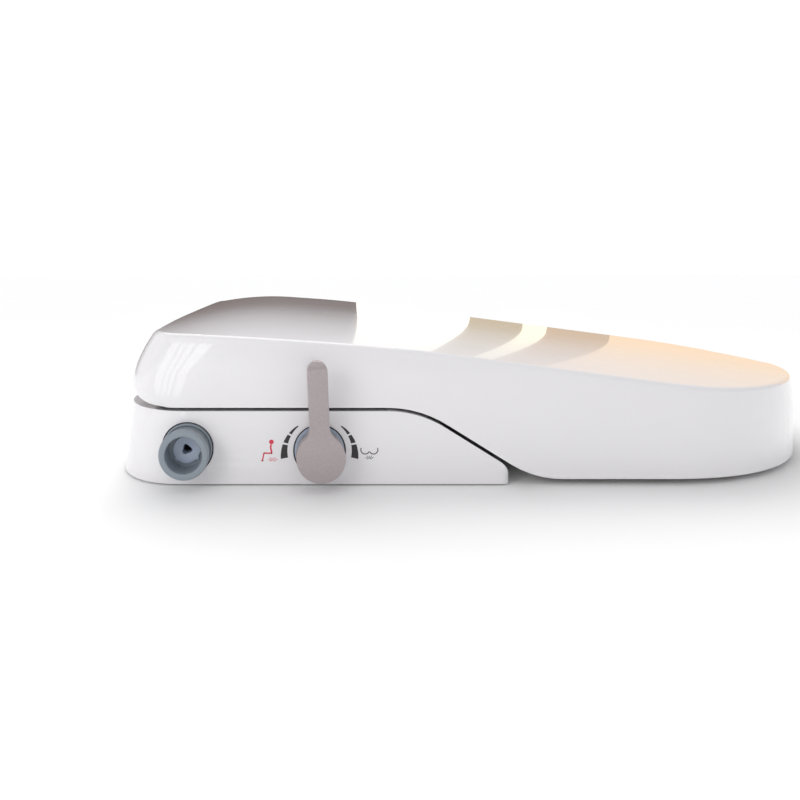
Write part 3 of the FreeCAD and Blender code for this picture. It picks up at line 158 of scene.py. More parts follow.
def span(tree, value, from_low, from_high, to_low=0.0, to_high=1.0):
    made = node(tree, "MapRange")
    tree.links.new(value, made.inputs["Value"])
    limits = {"From Min": from_low, "From Max": from_high, "To Min": to_low, "To Max": to_high}
    for name, number in limits.items():
        if isinstance(number, (int, float)):
            made.inputs[name].default_value = number
        else:
            tree.links.new(number, made.inputs[name])
    return made.outputs["Result"]


def combined(tree, operation, a, b):
    made = node(tree, "Math", operation=operation)
    for socket, value in zip(made.inputs, (a, b)):
        tree.links.new(value, socket)
    return made.outputs["Value"]


def times(tree, a, b):
    return combined(tree, "MULTIPLY", a, b)


def plus(tree, a, b):
    return combined(tree, "ADD", a, b)


def blended(tree, share, first, second):
    made = node(tree, "Mix", data_type="RGBA")
    tree.links.new(share, made.inputs["Factor"])
    tree.links.new(first, made.inputs["A"])
    tree.links.new(second, made.inputs["B"])
    return made.outputs["Result"]


def open_group(name, results, **values):
    """A node group with its inputs and outputs, and the place on the piece: tree, given, result, place."""
    tree = bpy.data.node_groups.new(name, "ShaderNodeTree")
    for key, value in values.items():
        colour = isinstance(value, tuple)
        socket = tree.interface.new_socket(name=key.replace("_", " "), in_out="INPUT",
                                           socket_type="NodeSocketColor" if colour else "NodeSocketFloat")
        socket.default_value = (*value, 1) if colour else value
    for key, kind in results.items():
        tree.interface.new_socket(name=key, in_out="OUTPUT", socket_type="NodeSocket" + kind)
    given, result = tree.nodes.new("NodeGroupInput").outputs, tree.nodes.new("NodeGroupOutput").inputs
    return tree, given, result, node(tree, "TexCoord").outputs["Object"]


def moulded_skin():
    """Slow ripple left by the mould and a fine grain, as one height."""
    tree, given, result, place = open_group("moulded_skin", {"Height": "Float"}, Ripple_Scale=14.0,
                                            Ripple=0.6, Grain_Scale=2400.0, Grain=0.3)
    ripple = times(tree, noise(tree, place, given["Ripple Scale"], 1.0), given["Ripple"])
    grain = times(tree, noise(tree, place, given["Grain Scale"], 3.0), given["Grain"])
    tree.links.new(plus(tree, ripple, grain), result["Height"])
    return tree


def tone_drift():
    """Slight change of tone across a moulding, as the melt cooled and the plastic aged."""
    tree, given, result, place = open_group("tone_drift", {"Color": "Color"}, Color=(0.8, 0.8, 0.8),
                                            Aged=(0.75, 0.72, 0.66), Scale=9.0, Amount=0.1)
    cloud = span(tree, noise(tree, place, given["Scale"], 3.0), 0.35, 0.7)
    share = times(tree, cloud, given["Amount"])
    tree.links.new(blended(tree, share, given["Color"], given["Aged"]), result["Color"])
    return tree


def edge_wear():
    """Corners rubbed by hands and cloths: a lighter or darker tone where the surface turns sharply."""
    tree, given, result, place = open_group("edge_wear", {"Color": "Color", "Mask": "Float"},
                                            Color=(0.8, 0.8, 0.8), Worn=(0.9, 0.9, 0.9), Amount=0.3)
    turn = span(tree, node(tree, "NewGeometry").outputs["Pointiness"], 0.53, 0.62)
    broken = span(tree, noise(tree, place, 160, 4.0, 0.6), 0.3, 0.65)
    mask = times(tree, times(tree, turn, broken), given["Amount"])
    tree.links.new(blended(tree, mask, given["Color"], given["Worn"]), result["Color"])
    tree.links.new(mask, result["Mask"])
    return tree


def settled_dust():
    """Dust on faces that look up, thicker in drifts."""
    tree, given, result, place = open_group("settled_dust", {"Color": "Color", "Roughness": "Float"},
                                            Color=(0.8, 0.8, 0.8), Roughness=0.2, Amount=0.05)
    facing = node(tree, "SeparateXYZ")
    tree.links.new(node(tree, "NewGeometry").outputs["Normal"], facing.inputs["Vector"])
    upward = span(tree, facing.outputs["Z"], 0.5, 1.0)
    drifts = span(tree, noise(tree, place, 38, 5.0, 0.65), 0.4, 0.72)
    mask = times(tree, times(tree, upward, drifts), given["Amount"])
    dust = node(tree, "RGB")
    dust.outputs["Color"].default_value = (0.52, 0.49, 0.45, 1)
    tree.links.new(blended(tree, mask, given["Color"], dust.outputs["Color"]), result["Color"])
    tree.links.new(plus(tree, given["Roughness"], mask), result["Roughness"])
    return tree


def handled():
    """Smudges and fine wiping marks that change the gloss a little."""
    tree, given, result, place = open_group("handled", {"Roughness": "Float"}, Roughness=0.2, Amount=0.06)
    smudge = span(tree, noise(tree, place, 26, 4.0, 0.6), 0.35, 0.7, -0.5, 1.0)
    stretched = node(tree, "Mapping")
    stretched.inputs["Scale"].default_value = (60, 900, 900)
    tree.links.new(place, stretched.inputs["Vector"])
    wiping = span(tree, noise(tree, stretched.outputs["Vector"], 1.0, 2.0), 0.35, 0.7, -0.3, 0.3)
    change = times(tree, plus(tree, smudge, wiping), given["Amount"])
    tree.links.new(plus(tree, given["Roughness"], change), result["Roughness"])
    return tree


def metal_flake():
    """Fine sparkle of a metallic coating: small flakes that differ in tone and tilt."""
    tree, given, result, place = open_group("metal_flake", {"Color": "Color", "Height": "Float"},
                                            Color=(0.6, 0.6, 0.6), Flake=(0.8, 0.8, 0.8), Scale=2600.0,
                                            Amount=0.25)
    cells = node(tree, "TexVoronoi")
    tree.links.new(place, cells.inputs["Vector"])
    tree.links.new(given["Scale"], cells.inputs["Scale"])
    tone = node(tree, "SeparateColor")
    tree.links.new(cells.outputs["Color"], tone.inputs["Color"])
    share = times(tree, tone.outputs["Red"], given["Amount"])
    tree.links.new(blended(tree, share, given["Color"], given["Flake"]), result["Color"])
    tree.links.new(tone.outputs["Green"], result["Height"])
    return tree


def turned_lines():
    """Fine tool marks round a turned or drawn metal part."""
    tree, given, result, place = open_group("turned_lines", {"Height": "Float"}, Scale=1500.0, Amount=0.5)
    stretched = node(tree, "Mapping")
    stretched.inputs["Scale"].default_value = (0.05, 1, 0.05)
    tree.links.new(place, stretched.inputs["Vector"])
    lines = noise(tree, stretched.outputs["Vector"], given["Scale"], 2.0)
    tree.links.new(times(tree, lines, given["Amount"]), result["Height"])
    return tree


SKIN = moulded_skin()
DRIFT = tone_drift()
WEAR = edge_wear()
DUST = settled_dust()
HANDLED = handled()
FLAKE = metal_flake()
TURNED = turned_lines()


class Finish:
    """A material under construction: a Principled shader and the groups that feed it."""

    def __init__(self, name, colour, roughness):
        self.material = bpy.data.materials.new(name)
        self.material.use_nodes = True
        self.tree = self.material.node_tree
        self.shader = self.tree.nodes["Principled BSDF"]
        self.colour = colour
        self.roughness = roughness
        self.material.diffuse_color = (*colour, 1)

    def place(self, group, **values):
        made = self.tree.nodes.new("ShaderNodeGroup")
        made.node_tree = group
        for name, value in values.items():
            socket = made.inputs[name.replace("_", " ")]
            if isinstance(value, bpy.types.NodeSocket):
                self.tree.links.new(value, socket)
            elif isinstance(value, tuple):
                socket.default_value = (*value, 1)
            else:
                socket.default_value = value
        return made.outputs

    def feed(self, name, value):
        self.tree.links.new(value, self.shader.inputs[name])

    def fix(self, **values):
        for name, value in values.items():
            self.shader.inputs[name.replace("_", " ")].default_value = value

    def bump(self, height, depth):
        made = self.tree.nodes.new("ShaderNodeBump")
        made.inputs["Strength"].default_value = 1.0
        made.inputs["Distance"].default_value = depth
        self.tree.links.new(height, made.inputs["Height"])
        self.feed("Normal", made.outputs["Normal"])


def plastic(name, colour, roughness, aged, drift=0.12, wear=0.25, worn=(0.9, 0.9, 0.9), dust=0.04,
            ripple=0.5, grain=0.25, depth=0.03, handling=0.05):
    finish = Finish(name, colour, roughness)
    tone = finish.place(DRIFT, Color=colour, Aged=aged, Amount=drift)["Color"]
    rubbed = finish.place(WEAR, Color=tone, Worn=worn, Amount=wear)["Color"]
    gloss = finish.place(HANDLED, Roughness=roughness, Amount=handling)["Roughness"]
    dusty = finish.place(DUST, Color=rubbed, Roughness=gloss, Amount=dust)
    finish.feed("Base Color", dusty["Color"])
    finish.feed("Roughness", dusty["Roughness"])
    finish.bump(finish.place(SKIN, Ripple=ripple, Grain=grain)["Height"], depth * MM)
    return finish


def champagne_coating():
    colour = (0.36, 0.315, 0.325)
    finish = Finish("champagne_silver_coating", colour, 0.34)
    flakes = finish.place(FLAKE, Color=colour, Flake=(0.56, 0.50, 0.50), Amount=0.30)
    tone = finish.place(DRIFT, Color=flakes["Color"], Aged=(0.34, 0.29, 0.29), Scale=30.0,
                        Amount=0.25)["Color"]
    rubbed = finish.place(WEAR, Color=tone, Worn=(0.70, 0.66, 0.64), Amount=0.35)["Color"]
    gloss = finish.place(HANDLED, Roughness=0.34, Amount=0.08)["Roughness"]
    finish.feed("Base Color", rubbed)
    finish.feed("Roughness", gloss)
    finish.fix(Metallic=0.55, Coat_Weight=0.25, Coat_Roughness=0.18)
    finish.bump(flakes["Height"], 0.004 * MM)
    return finish.material


def metal(name, colour, roughness, scale, aged, drift=0.3):
    finish = Finish(name, colour, roughness)
    tone = finish.place(DRIFT, Color=colour, Aged=aged, Scale=60.0, Amount=drift)["Color"]
    rubbed = finish.place(WEAR, Color=tone, Worn=(0.85, 0.84, 0.82), Amount=0.3)["Color"]
    finish.feed("Base Color", rubbed)
    finish.feed("Roughness", finish.place(HANDLED, Roughness=roughness, Amount=0.15)["Roughness"])
    finish.fix(Metallic=1.0)
    finish.bump(finish.place(TURNED, Scale=scale)["Height"], 0.01 * MM)
    return finish.material


# slot: name, colour, roughness, aged colour, what else the plastic's groups take, what the shader takes
RUBBER_SKIN = {"drift": 0.3, "wear": 0.4, "dust": 0.12, "grain": 1.0, "depth": 0.08, "handling": 0.1}
PLASTICS = {
    "white_plastic": ("white_gloss_shell", (0.755, 0.745, 0.765), 0.16, (0.75, 0.73, 0.725),
                      {"dust": 0.015, "depth": 0.02, "ripple": 0.9, "grain": 0.04, "handling": 0.03},
                      {"IOR": 1.52, "Coat_Weight": 1.0, "Coat_Roughness": 0.02, "Coat_IOR": 1.5}),
    "seat_plastic": ("white_gloss_seat", (0.82, 0.81, 0.815), 0.16, (0.81, 0.78, 0.75),
                     {"dust": 0.01, "depth": 0.02, "ripple": 0.8, "grain": 0.05, "handling": 0.04},
                     {"IOR": 1.5, "Coat_Weight": 0.2, "Coat_Roughness": 0.06}),
    "inner_plastic": ("matt_white_moulding", (0.70, 0.70, 0.69), 0.46, (0.68, 0.65, 0.60),
                      {"drift": 0.2, "dust": 0.08, "grain": 0.8, "depth": 0.05}, {}),
    "grey_plastic": ("blue_grey_satin", (0.225, 0.262, 0.300), 0.34, (0.24, 0.26, 0.28),
                     {"drift": 0.25, "dust": 0.05, "worn": (0.42, 0.46, 0.5), "wear": 0.4, "grain": 0.45,
                      "depth": 0.04}, {}),
    "pale_grey_plastic": ("pale_blue_grey", (0.36, 0.42, 0.53), 0.36, (0.36, 0.40, 0.46),
                          {"drift": 0.2, "worn": (0.6, 0.64, 0.7), "grain": 0.4, "depth": 0.04}, {}),
    "dark_plastic": ("dark_acetal", (0.022, 0.023, 0.028), 0.38, (0.05, 0.048, 0.045),
                     {"worn": (0.16, 0.16, 0.17), "grain": 0.6, "depth": 0.04}, {}),
    "ceramic": ("lapped_ceramic", (0.80, 0.78, 0.72), 0.12, (0.74, 0.70, 0.62), {"grain": 0.2, "depth": 0.01},
                {"IOR": 1.7}),
    "rubber": ("black_rubber", (0.016, 0.016, 0.018), 0.62, (0.04, 0.038, 0.036),
               {"worn": (0.09, 0.09, 0.09), **RUBBER_SKIN}, {"IOR": 1.45}),
    "pale_rubber": ("pale_silicone", (0.58, 0.585, 0.58), 0.62, (0.54, 0.52, 0.48),
                    {"worn": (0.70, 0.70, 0.69), **RUBBER_SKIN}, {"IOR": 1.45}),
    "hose_plastic": ("milky_tube", (0.66, 0.70, 0.73), 0.3, (0.62, 0.63, 0.60),
                     {"drift": 0.25, "grain": 0.3, "depth": 0.03},
                     {"Subsurface_Weight": 0.15, "Subsurface_Scale": 2 * MM}),
}


def printed_ink(name, colour, aged):
    """Pad-printed ink: slightly uneven cover with fine pinholes."""
    finish = plastic(name, colour, 0.42, aged, drift=0.35, wear=0.1, worn=aged, dust=0.0, grain=0.6,
                     depth=0.01)
    return finish.material


def plastic_of_slot(slot):
    name, colour, roughness, aged, groups, shader = PLASTICS[slot]
    finish = plastic(name, colour, roughness, aged, **groups)
    finish.fix(**shader)
    return finish.material


FINISHES = {slot: plastic_of_slot(slot) for slot in PLASTICS}
FINISHES["lever_coating"] = champagne_coating()
FINISHES["steel"] = metal("stainless_steel", (0.56, 0.56, 0.57), 0.30, 1500.0, (0.42, 0.42, 0.43))
FINISHES["brass"] = metal("turned_brass", (0.60, 0.42, 0.17), 0.28, 2200.0, (0.36, 0.24, 0.11), 0.5)
BLACK_INK = printed_ink("black_ink", (0.012, 0.012, 0.014), (0.05, 0.05, 0.05))
RED_INK = printed_ink("red_ink", (0.62, 0.012, 0.05), (0.66, 0.09, 0.11))


def paint_packed_nodes():
    """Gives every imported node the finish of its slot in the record."""
    for part in frame["record"]["subparts"]:
        finish = FINISHES[part["material_slot"]]
        mesh = frame["nodes"][part["node"]].data
        mesh.materials.clear()
        mesh.materials.append(finish)


# ==== helpers for pieces ====

def placed(name, mesh, material):
    thing = bpy.data.objects.new(name, mesh)
    bpy.context.scene.collection.objects.link(thing)
    mesh.materials.append(material)
    return thing


def finished(name, bm, body, slot, replaced=(), finish=None, crease=32, wall=0.0, edge=0.0):
    """Turns a bmesh into a piece that rides on a body, with a wall inwards and rounded edges if asked."""
    mesh = bpy.data.meshes.new(name)
    bm.normal_update()
    bm.to_mesh(mesh)
    bm.free()
    mesh.shade_smooth()
    mesh.set_sharp_from_angle(angle=math.radians(crease))
    piece = placed(name, mesh, finish or FINISHES[slot])
    if wall:
        shell = piece.modifiers.new("wall", "SOLIDIFY")
        shell.thickness = wall
        shell.offset = -1
    if edge:
        rounding = piece.modifiers.new("edge", "BEVEL")
        rounding.width = edge
        rounding.segments = 3
        rounding.limit_method = "ANGLE"
        rounding.angle_limit = math.radians(50)
    if body:
        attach(piece, body)
    if replaced:
        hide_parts(*replaced)
    return piece


def arc(cx, cy, r, start, end, steps):
    """Points on an arc, angles in degrees from the first axis."""
    turns = [math.radians(start + (end - start) * k / steps) for k in range(steps + 1)]
    return [(cx + r * math.cos(t), cy + r * math.sin(t)) for t in turns]


def verts_in(geometry):
    return [part for part in geometry if isinstance(part, bmesh.types.BMVert)]


def side_plate(bm, outline, y_front, y_back):
    """A closed plate from an outline in X and Z, between two Y planes."""
    verts = [bm.verts.new((x, y_front, z)) for x, z in outline]
    face = bm.faces.new(verts)
    moved = verts_in(bmesh.ops.extrude_face_region(bm, geom=[face])["geom"])
    bmesh.ops.translate(bm, verts=moved, vec=(0, y_back - y_front, 0))


def outward(bm):
    bmesh.ops.remove_doubles(bm, verts=bm.verts, dist=1e-6)
    bmesh.ops.recalc_face_normals(bm, faces=bm.faces)


def spun_about_y(profile, x, z, steps=96):
    """Turns a profile of (radius, y) points, closed on itself or on the axis, round an axis along Y."""
    bm = bmesh.new()
    verts = [bm.verts.new((x + r, y, z)) for r, y in profile]
    edges = [bm.edges.new(pair) for pair in zip(verts, verts[1:])]
    bmesh.ops.spin(bm, geom=verts + edges, cent=(x, 0, z), axis=(0, 1, 0), angle=2 * math.pi, steps=steps,
                   use_merge=True, use_duplicate=False)
    outward(bm)
    return bm


# ==== lines shared by lid, seat and base ====

def rim_height(x):
    """Height of the lid's side rim: two straight runs joined by a soft bend."""
    along = x - BEND_X
    bend = BEND_SOFT * math.log(1 + math.exp(along / BEND_SOFT))
    return BEND_Z - REAR_FALL * along - (FRONT_FALL - REAR_FALL) * bend


def lid_height(x, y):
    rise = min(1.0, (x - CROWN_START) / CROWN_RUN)
    swell = 1 - (1 - rise) ** 2
    return rim_height(x) + CROWN * swell * (1 - (abs(y) / LID_SIDE_Y) ** 4)


def stepped_edge(x, gap, floor):
    """Lower line of lid or seat: level over the base, round its shoulder, down its slope, then level."""
    r = SHOULDER_R + gap
    centre_z = BASE_TOP - SHOULDER_R
    slope_x = SHOULDER_X + r * math.sin(SLOPE)
    slope_z = centre_z + r * math.cos(SLOPE)
    hollow_z = floor + HOLLOW_R
    run = (slope_z - hollow_z + HOLLOW_R * math.cos(SLOPE)) / math.tan(SLOPE)
    hollow_x = slope_x + run + HOLLOW_R * math.sin(SLOPE)
    if x <= SHOULDER_X:
        return BASE_TOP + gap
    if x <= slope_x:
        return centre_z + math.sqrt(r * r - (x - SHOULDER_X) ** 2)
    if x <= slope_x + run:
        return slope_z - (x - slope_x) * math.tan(SLOPE)
    if x <= hollow_x:
        return hollow_z - math.sqrt(HOLLOW_R ** 2 - (x - hollow_x) ** 2)
    return floor


def disc_from_square(a, b):
    """Maps the unit square on the unit disc without a crease."""
    return a * math.sqrt(1 - b * b / 2), b * math.sqrt(1 - a * a / 2)


def round_base_edges():
    """Joins the housing's facets and rounds its hard edges."""
    housing = frame["nodes"]["base_housing"]
    housing.modifiers.new("join", "WELD").merge_threshold = 0.005 * MM
    flat = housing.modifiers.new("flat", "DECIMATE")
    flat.decimate_type = "DISSOLVE"
    flat.angle_limit = math.radians(1.5)
    flat.delimit = set()
    rounding = housing.modifiers.new("round", "BEVEL")
    rounding.width = 1.6 * MM
    rounding.segments = 4
    rounding.limit_method = "ANGLE"
    rounding.angle_limit = math.radians(55)


# ==== lid ====

GRID_LONG = 96
GRID_WIDE = 64
REAR_BIAS = 1.6                 # grid lines crowd towards the rear corners


def lid_plan(u, v, inset):
    """Plan position of a grid point: u runs rear to front and v across, each -1 to 1."""
    wide = LID_SIDE_Y - inset
    rear = LID_REAR + inset
    corner = LID_CORNER_R - inset
    share = (u + 1) / 2
    x = rear + (LID_FRONT - inset - rear) * share ** REAR_BIAS
    y = wide * math.sin(v * math.pi / 2)
    if x > OVAL_X:
        reach = LID_FRONT - inset - OVAL_X
        a, b = disc_from_square((x - OVAL_X) / reach, y / wide)
        return OVAL_X + reach * a, wide * b
    if x < rear + corner and abs(y) > wide - corner:
        a, b = disc_from_square((rear + corner - x) / corner, (abs(y) - wide + corner) / corner)
        return rear + corner * (1 - a), math.copysign(wide - corner + corner * b, y)
    return x, y


def rear_shift(z):
    """How far the rear wall stands in front of its rearmost line at this height."""
    if z > HINGE.z:
        return REAR_LEAN * ((z - HINGE.z) / (REAR_TOP_Z - HINGE.z)) ** REAR_CURVE
    drop = min(HINGE_WRAP_R, HINGE.z - z)
    return HINGE_WRAP_R - math.sqrt(HINGE_WRAP_R ** 2 - drop ** 2)


def lid_place(u, v, inset, z):
    """Plan position with the rear wall's lean at height z let in, fading out along the sides."""
    x, y = lid_plan(u, v, inset)
    fade_from = LID_REAR + LID_CORNER_R + 2 * MM
    fade = min(1.0, max(0.0, (x - fade_from) / (130 * MM)))
    keep = 1 - fade * fade * (3 - 2 * fade)
    return x + rear_shift(z) * keep, y


SETTLE_ROUNDS = 3               # times that height and lean are worked out from each other
RIM_STEPS = 6
WALL_STEPS = 30
RIM_START = 20                  # degrees: where the crown's slope meets the rim's rounding


def grown_rim(bm):
    """Extrudes the open edge of a sheet once and returns the new vertices."""
    rim = [e for e in bm.edges if e.is_boundary]
    return verts_in(bmesh.ops.extrude_edge_only(bm, edges=rim)["geom"])


def lid_sheet():
    """Outer skin of the lid as an open sheet."""
    bm = bmesh.new()
    u_layer = bm.verts.layers.float.new("u")
    v_layer = bm.verts.layers.float.new("v")
    top_layer = bm.verts.layers.float.new("top")
    bmesh.ops.create_grid(bm, x_segments=GRID_LONG, y_segments=GRID_WIDE, size=1)
    start = math.radians(RIM_START)
    start_inset = LID_TUCK + LID_RIM_R * (1 - math.sin(start))
    for vert in bm.verts:
        u, v = vert.co.x, vert.co.y
        x, y = lid_place(u, v, start_inset, REAR_TOP_Z)
        z = lid_height(x, y)
        vert.co = (x, y, z)
        vert[u_layer], vert[v_layer], vert[top_layer] = u, v, z
    for k in range(1, RIM_STEPS + 1):
        turn = start + (math.pi / 2 - start) * k / RIM_STEPS
        inset = LID_TUCK + LID_RIM_R * (1 - math.sin(turn))
        drop = LID_RIM_R * (math.cos(start) - math.cos(turn))
        for vert in grown_rim(bm):
            z = vert[top_layer] - drop
            vert.co = (*lid_place(vert[u_layer], vert[v_layer], inset, z), z)
    wall_drop = LID_RIM_R * math.cos(start)
    for k in range(1, WALL_STEPS + 1):
        share = k / WALL_STEPS
        inset = LID_TUCK * max(0.0, 1 - 2 * share) ** 2
        for vert in grown_rim(bm):
            z_top = vert[top_layer] - wall_drop
            x, y = vert.co.x, vert.co.y
            for _ in range(SETTLE_ROUNDS):
                z = z_top + (stepped_edge(x, LID_GAP, LID_FLOOR) - z_top) * share
                x, y = lid_place(vert[u_layer], vert[v_layer], inset, z)
            vert.co = (x, y, z)
    return bm


POST_SIDES = (-1, 1)
NOTCH_IN_Y = 87.5 * MM
NOTCH_OUT_Y = 130.5 * MM
NOTCH_TOP = HINGE.z + 7 * MM
NOTCH_FRONT = HINGE.x + HINGE_WRAP_R


def cut_post_notches(bm):
    """Opens the rear wall round each hinge post."""
    planes = [((0, s * y, 0), (0, 1, 0)) for s in POST_SIDES for y in (NOTCH_IN_Y, NOTCH_OUT_Y)]
    planes.append(((0, 0, NOTCH_TOP), (0, 0, 1)))
    for place, normal in planes:
        near = [f for f in bm.faces if f.calc_center_median().x < NOTCH_FRONT]
        edges = {e for f in near for e in f.edges}
        verts = {v for f in near for v in f.verts}
        bmesh.ops.bisect_plane(bm, geom=list(verts) + list(edges) + near, plane_co=place, plane_no=normal,
                               dist=1e-6)
    gone = []
    for face in bm.faces:
        spot = face.calc_center_median()
        if spot.x < NOTCH_FRONT and spot.z < NOTCH_TOP and NOTCH_IN_Y < abs(spot.y) < NOTCH_OUT_Y:
            gone.append(face)
    bmesh.ops.delete(bm, geom=gone, context="FACES")


def lid_panel():
    bm = lid_sheet()
    cut_post_notches(bm)
    bmesh.ops.recalc_face_normals(bm, faces=bm.faces)
    return finished("lid_panel", bm, "lid", "white_plastic", ["lid_shell"], crease=40, wall=LID_WALL,
                    edge=1.0 * MM)


KNUCKLE_R = 12 * MM
KNUCKLE_W = 11 * MM


def knuckle_outline(radius, top):
    """Round below the hinge line, square above it."""
    turn = arc(HINGE.x, HINGE.z, radius, 180, 360, 24)
    return turn + [(HINGE.x + radius, top), (HINGE.x - radius * 0.35, top),
                   (HINGE.x - radius, HINGE.z + radius)]


def bevelled(bm, width, segments=3, angle=40):
    sharp = [e for e in bm.edges if len(e.link_faces) == 2 and e.calc_face_angle() > math.radians(angle)]
    bmesh.ops.bevel(bm, geom=sharp, offset=width, offset_type="OFFSET", affect="EDGES", segments=segments,
                    profile=0.5, material=-1, clamp_overlap=True)


def lid_knuckles():
    """Two ears inside the lid that turn on the hinge posts."""
    bm = bmesh.new()
    for side in POST_SIDES:
        outline = knuckle_outline(KNUCKLE_R, rim_height(HINGE.x) - 3 * MM)
        side_plate(bm, outline, side * NOTCH_OUT_Y, side * (NOTCH_OUT_Y + KNUCKLE_W))
    outward(bm)
    bevelled(bm, 0.8 * MM)
    return finished("lid_hinge_knuckles", bm, "lid", "white_plastic")


def lid_bumper_bosses():
    """Short posts under the lid that carry its rubber bumpers."""
    bm = bmesh.new()
    for x, y, z_top, radius in bumper_centres("lid_bumpers"):
        r = radius * 0.86
        roof = lid_height(x, y) - LID_WALL
        made = bmesh.ops.create_cone(bm, cap_ends=True, segments=40, radius1=r, radius2=r * 1.12,
                                     depth=roof - z_top)
        bmesh.ops.translate(bm, verts=made["verts"], vec=(x, y, (roof + z_top) / 2))
    outward(bm)
    bevelled(bm, 0.5 * MM, 2)
    return finished("lid_bumper_bosses", bm, "lid", "white_plastic")


def loose_parts(name):
    """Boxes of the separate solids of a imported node."""
    bm = bmesh.new()
    bm.from_mesh(frame["nodes"][name].data)
    bmesh.ops.remove_doubles(bm, verts=bm.verts, dist=1e-6)
    bm.verts.ensure_lookup_table()
    left = set(bm.verts)
    boxes = []
    while left:
        stack = [left.pop()]
        spots = [stack[0].co.copy()]
        while stack:
            for edge in stack.pop().link_edges:
                for vert in edge.verts:
                    if vert in left:
                        left.remove(vert)
                        stack.append(vert)
                        spots.append(vert.co.copy())
        boxes.append((Vector(min(p[i] for p in spots) for i in range(3)),
                      Vector(max(p[i] for p in spots) for i in range(3))))
    bm.free()
    return sorted(boxes, key=lambda pair: tuple(round(n, 5) for n in pair[0]))


def bumper_centres(name):
    found = []
    for lowest, highest in loose_parts(name):
        centre = (lowest + highest) / 2
        found.append((centre.x, centre.y, highest.z, (highest.x - lowest.x) / 2))
    return found


# ==== seat ring ====

RING_STEPS = 200
ROLL_STEPS = 8
DISH = 2.5 * MM                 # the sitting face falls this much towards the opening


def ring_outline(turn):
    """Outer edge of the ring seen from the middle of the opening, at this angle."""
    dx, dy = math.cos(turn), math.sin(turn)
    reach = []
    if abs(dy) > 1e-9:
        reach.append(RING_SIDE_Y / abs(dy))
    if dx < 0:
        reach.append((RING_REAR - OPENING_X) / dx)
    flat = min(reach) if reach else 10.0
    x, y = OPENING_X + dx * flat, dy * flat
    if x > OVAL_X or not reach:
        long_r = RING_FRONT - OVAL_X
        offset = OPENING_X - OVAL_X
        a = (dx / long_r) ** 2 + (dy / RING_SIDE_Y) ** 2
        b = 2 * offset * dx / long_r ** 2
        c = (offset / long_r) ** 2 - 1
        flat = (-b + math.sqrt(b * b - 4 * a * c)) / (2 * a)
        return OPENING_X + dx * flat, dy * flat
    corner_x = RING_REAR + RING_CORNER_R
    corner_y = RING_SIDE_Y - RING_CORNER_R
    if x < corner_x and abs(y) > corner_y:
        px = OPENING_X - corner_x
        py = -math.copysign(corner_y, y)
        b = px * dx + py * dy
        c = px * px + py * py - RING_CORNER_R ** 2
        flat = -b + math.sqrt(max(0.0, b * b - c))
        return OPENING_X + dx * flat, dy * flat
    return x, y


def ring_inner(turn):
    dx, dy = math.cos(turn), math.sin(turn)
    reach = 1 / math.sqrt((dx / OPENING_LEN) ** 2 + (dy / OPENING_WIDE) ** 2)
    return OPENING_X + dx * reach, dy * reach


def ring_height(x):
    return rim_height(x) - RING_DROP


def ring_section():
    """Stations across the ring: share from the opening outwards, and how far below the sitting face."""
    stations = []
    for k in range(ROLL_STEPS + 1):
        turn = math.pi / 2 * k / ROLL_STEPS
        stations.append(("in", 1 - math.cos(turn), 1 - math.sin(turn)))
    for k in range(1, 6):
        stations.append(("top", k / 6, 0.0))
    for k in range(ROLL_STEPS + 1):
        turn = math.pi / 2 * (1 - k / ROLL_STEPS)
        stations.append(("out", 1 - math.cos(turn), 1 - math.sin(turn)))
    return stations


def ring_point(turn, station):
    """A point of the ring's skin at this angle and station."""
    kind, along, below = station
    inner = Vector(ring_inner(turn))
    outer = Vector(ring_outline(turn))
    across = (outer - inner).normalized()
    width = (outer - inner).length
    roll = min(RING_ROLL, width * 0.3)
    if kind == "in":
        spot = inner + across * roll * along
    elif kind == "out":
        spot = outer - across * roll * along
    else:
        spot = inner + across * (roll + (width - 2 * roll) * along)
    share = (spot - inner).length / width
    dish = DISH * (1 - share) ** 2
    z = ring_height(spot.x) - dish - roll * below
    floor = stepped_edge(spot.x, RING_GAP, RING_FLOOR)
    return Vector((spot.x, spot.y, max(z, floor + 1.5 * MM)))


def seat_ring():
    """Sitting ring: rolled at the opening and at the outer edge, closed off at its lower line."""
    bm = bmesh.new()
    stations = ring_section()
    turn_layer = bm.verts.layers.float.new("turn")
    made = bmesh.ops.create_circle(bm, segments=RING_STEPS, radius=1, cap_ends=False)
    ring = list(made["verts"])
    for vert in ring:
        vert[turn_layer] = math.atan2(vert.co.y, vert.co.x)
    wall_steps = 6
    loops = [("in_wall", k / wall_steps) for k in range(wall_steps)]
    loops += [("skin", station) for station in stations]
    loops += [("out_wall", k / wall_steps) for k in range(1, wall_steps + 1)]
    current = ring
    edges = list(bm.edges)
    for number, loop in enumerate(loops):
        if number:
            grown = bmesh.ops.extrude_edge_only(bm, edges=edges)["geom"]
            current = verts_in(grown)
            edges = [e for e in grown if isinstance(e, bmesh.types.BMEdge) and e.is_boundary
                     and all(v in set(current) for v in e.verts)]
        for vert in current:
            vert.co = ring_loop_place(vert[turn_layer], loop, stations)
    bmesh.ops.recalc_face_normals(bm, faces=bm.faces)
    return finished("seat_ring", bm, "seat", "seat_plastic", ["seat_top_shell"], crease=40, wall=RING_WALL,
                    edge=0.8 * MM)


def ring_loop_place(turn, loop, stations):
    kind, detail = loop
    if kind == "skin":
        return ring_point(turn, detail)
    end = ring_point(turn, stations[0] if kind == "in_wall" else stations[-1])
    floor = stepped_edge(end.x, RING_GAP, RING_FLOOR)
    share = detail if kind == "in_wall" else 1 - detail
    return Vector((end.x, end.y, floor + (end.z - floor) * share))


EAR_R = 10.4 * MM
EAR_IN_Y = 88.5 * MM
EAR_W = 11 * MM


